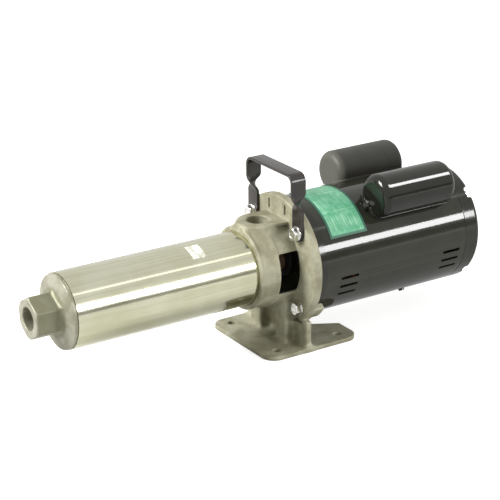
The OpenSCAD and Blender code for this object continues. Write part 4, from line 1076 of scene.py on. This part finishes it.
def plate_finish(tree):
    """A blank table: pale rules between rows and columns and pale fields, without any lettering."""
    place = tree.place()
    up = tree.part(place, "Z") - SHAFT_Z
    angle = tree.maths("ARCTAN2", 0.0 - tree.part(place, "Y"), up)
    first, last = (radians(a) for a in PLATE_ANGLES)
    across = (angle - first) / (last - first)
    along = (tree.part(place, "X") - PLATE_LOW[X] * MM) / ((PLATE_HIGH[X] - PLATE_LOW[X]) * MM)
    row = tree.maths("FRACT", along * PLATE_ROWS)
    column = tree.maths("FRACT", across * PLATE_COLUMNS)
    rule = 1 - row.within(0.02, 0.10, 0.90, 0.98) * column.within(0.01, 0.04, 0.96, 0.99)
    field = row.within(0.34, 0.44, 0.66, 0.78) * column.within(0.12, 0.16, 0.70, 0.80)
    cloud = tree.noise(90, 3.0) * 0.5 + tree.noise(38, 2.0) * 0.5
    inner = across.within(0.03, 0.05, 0.95, 0.97) * along.within(0.05, 0.08, 0.92, 0.95)
    green = tree.blend(cloud.band(0.35, 0.65), (0.065, 0.32, 0.165), (0.15, 0.43, 0.26))
    pale = (rule * 0.40 + field * 0.40) * inner * (0.3 + 0.7 * cloud.band(0.42, 0.6))
    table = tree.blend(pale, green, (0.50, 0.72, 0.56))
    edge = across.within(0.02, 0.04, 0.96, 0.98) * along.within(0.04, 0.07, 0.93, 0.96)
    return {"Base Color": tree.blend(edge, (0.02, 0.10, 0.06), table), "Metallic": 0.1,
            "Roughness": 0.42 + 0.2 * (cloud - 0.5)}


def label_finish(tree):
    """A pale paper label under clear film, rubbed and slightly lifted at places."""
    cloud = tree.noise(130, 4.0)
    tone = tree.blend(cloud.band(0.4, 0.62), (0.48, 0.48, 0.39), (0.84, 0.85, 0.76))
    return {"Base Color": tone, "Roughness": 0.3 + 0.3 * cloud, "Coat Weight": 0.3,
            "Normal": tree.bump(cloud, 0.0003, 0.5)}


def dusty_paint_painted_front(tree):
    """The far cover's paint, dulled by dust, with its front end paler as a painted reflection."""
    inputs = gloss_paint((0.036, 0.035, 0.029), 0.5, 0.00006, 400)(tree)
    place = tree.place()
    front = (X_COVER + RUN_COVER_SHORTER) * MM
    # Painted reflection: the front end is pulled towards a paler grey, as if it mirrored its bright surroundings.
    painted_front_light = tree.part(place, "X").band(front + 0.013, front + 0.006)
    painted_front_light = painted_front_light * (0.6 + 0.4 * tree.noise(150))
    inputs["Base Color"] = tree.blend(painted_front_light, inputs["Base Color"], (0.085, 0.085, 0.068))
    return inputs


def head_finish(tree):
    """The head's casting. Its front is faced off, so the raw flats of the hexagon look darker."""
    inputs = casting_finish((0.34, 0.33, 0.26), (0.23, 0.22, 0.155), 0.4, 0.38)(tree)
    place = tree.place()
    up, side = tree.part(place, "Z") - SHAFT_Z, tree.part(place, "Y")
    radius = (up * up + side * side) ** 0.5
    behind_front = tree.part(place, "X").band((X_HEX + 1) * MM, (X_HEX + 3) * MM)
    raw = radius.within(0.016, 0.018, 0.030, 0.036) * behind_front
    inputs["Base Color"] = tree.blend(raw * 0.75, inputs["Base Color"], (0.15, 0.15, 0.085))
    return inputs


# %% One finish for each slot
FINISHES = {
    "casting": casting_finish((0.345, 0.335, 0.24), (0.23, 0.215, 0.14), 0.2, 0.5),
    "head_casting": head_finish,
    "stainless": drawn_metal((0.58, 0.57, 0.44), (0.49, 0.48, 0.335), 0.13, (5, 300, 300), 0.00002),
    "inner_stainless": drawn_metal((0.70, 0.69, 0.66), (0.58, 0.57, 0.54), 0.30),
    "stage_plastic": moulded((0.80, 0.77, 0.68), 0.42),
    "rubber": moulded((0.02, 0.02, 0.02), 0.6, 900),
    "ceramic": moulded((0.80, 0.78, 0.74), 0.25, 1200, 0.00003),
    "seal_face": moulded((0.04, 0.04, 0.04), 0.45),
    "handle_steel": gloss_paint((0.022, 0.019, 0.017), 0.22, 0.00010, 500),
    "zinc_steel": drawn_metal((0.86, 0.86, 0.84), (0.62, 0.62, 0.58), 0.24, (200, 200, 200),
                              0.00005),
    "cast_black": gloss_paint((0.013, 0.0135, 0.009), 0.12, 0.00006, 450),
    "motor_black": gloss_paint((0.013, 0.0135, 0.009), 0.07, 0.00002),
    "cover_black": gloss_paint((0.010, 0.0105, 0.007), 0.07, 0.00002),
    "lamination": layered((0.42, 0.41, 0.39), (0.20, 0.19, 0.18), 1.0, 0.4, 0.9),
    "winding": layered((0.52, 0.22, 0.09), (0.28, 0.09, 0.03), 1.4, 0.3, 0.6, "Z"),
    "bearing_steel": drawn_metal((0.72, 0.72, 0.72), (0.60, 0.60, 0.60), 0.18, (500, 60, 60),
                                 0.00002),
    "board": moulded((0.17, 0.085, 0.04), 0.45),
    "capacitor_can": drawn_metal((0.55, 0.56, 0.57), (0.42, 0.43, 0.44), 0.32),
    "plate_green": plate_finish,
    "shaft_steel": drawn_metal((0.72, 0.71, 0.68), (0.56, 0.55, 0.52), 0.22, (900, 30, 30),
                               0.00003),
    "coupling_steel": casting_finish((0.17, 0.10, 0.06), (0.10, 0.055, 0.03), 0.5, 0.4),
}
MATERIALS = {slot: finish(slot, make) for slot, make in FINISHES.items()}
label_material = finish("label_paper", label_finish)
dusty_cover_painted_front = finish("dusty_cover_painted_front", dusty_paint_painted_front)
for node in frame["nodes"].values():
    for material_slot in node.material_slots:
        material_slot.material = MATERIALS[material_slot.name]
frame["nodes"]["ground_screw"].material_slots[0].material = MATERIALS["handle_steel"]
print("finishes:", len(MATERIALS) + 2)

# %% [markdown]
# ## Put the pieces in place of the plain ones
#
# Each new piece rides on the same body as the node that it stands for, so it moves with it.

# %% Dress the nodes
for row in ((bracket, "suction_bracket"), (head, "discharge_head"), (bell, "rear_end_bell"),
            (start_cover, "start_capacitor_cover"),
            (run_cover, "run_capacitor_cover", dusty_cover_painted_front), (strap, "carrying_handle"),
            (bolts, "flange_bolts"), (washers, "flange_washers")):
    dress(*row)
add_to(rivets, "housing", MATERIALS["plate_green"])
add_to(label, "housing", label_material)

# %% [markdown]
# ## Which lamp draws which streak
#
# A photographer shades single pieces with small flags. Light linking does the same: the streak box
# leaves both covers alone, and the cover strip draws its bright line on the near cover only.

# %% Flag the covers


def flag(lamp, state, *pieces):
    """Lists the pieces that a lamp leaves out (EXCLUDE) or is for (INCLUDE)."""
    group = bpy.data.collections.new(f"{lamp.name}_pieces")
    for piece in pieces:
        group.objects.link(piece)
    for row in group.collection_objects:
        row.light_linking.link_state = state
    lamp.light_linking.receiver_collection = group


flag(lamps["streak_box"], "EXCLUDE", start_cover, run_cover)
flag(lamps["cover_strip"], "INCLUDE", start_cover)
flagged = [name for name, lamp in lamps.items() if lamp.light_linking.receiver_collection]
print("flags set on", flagged)
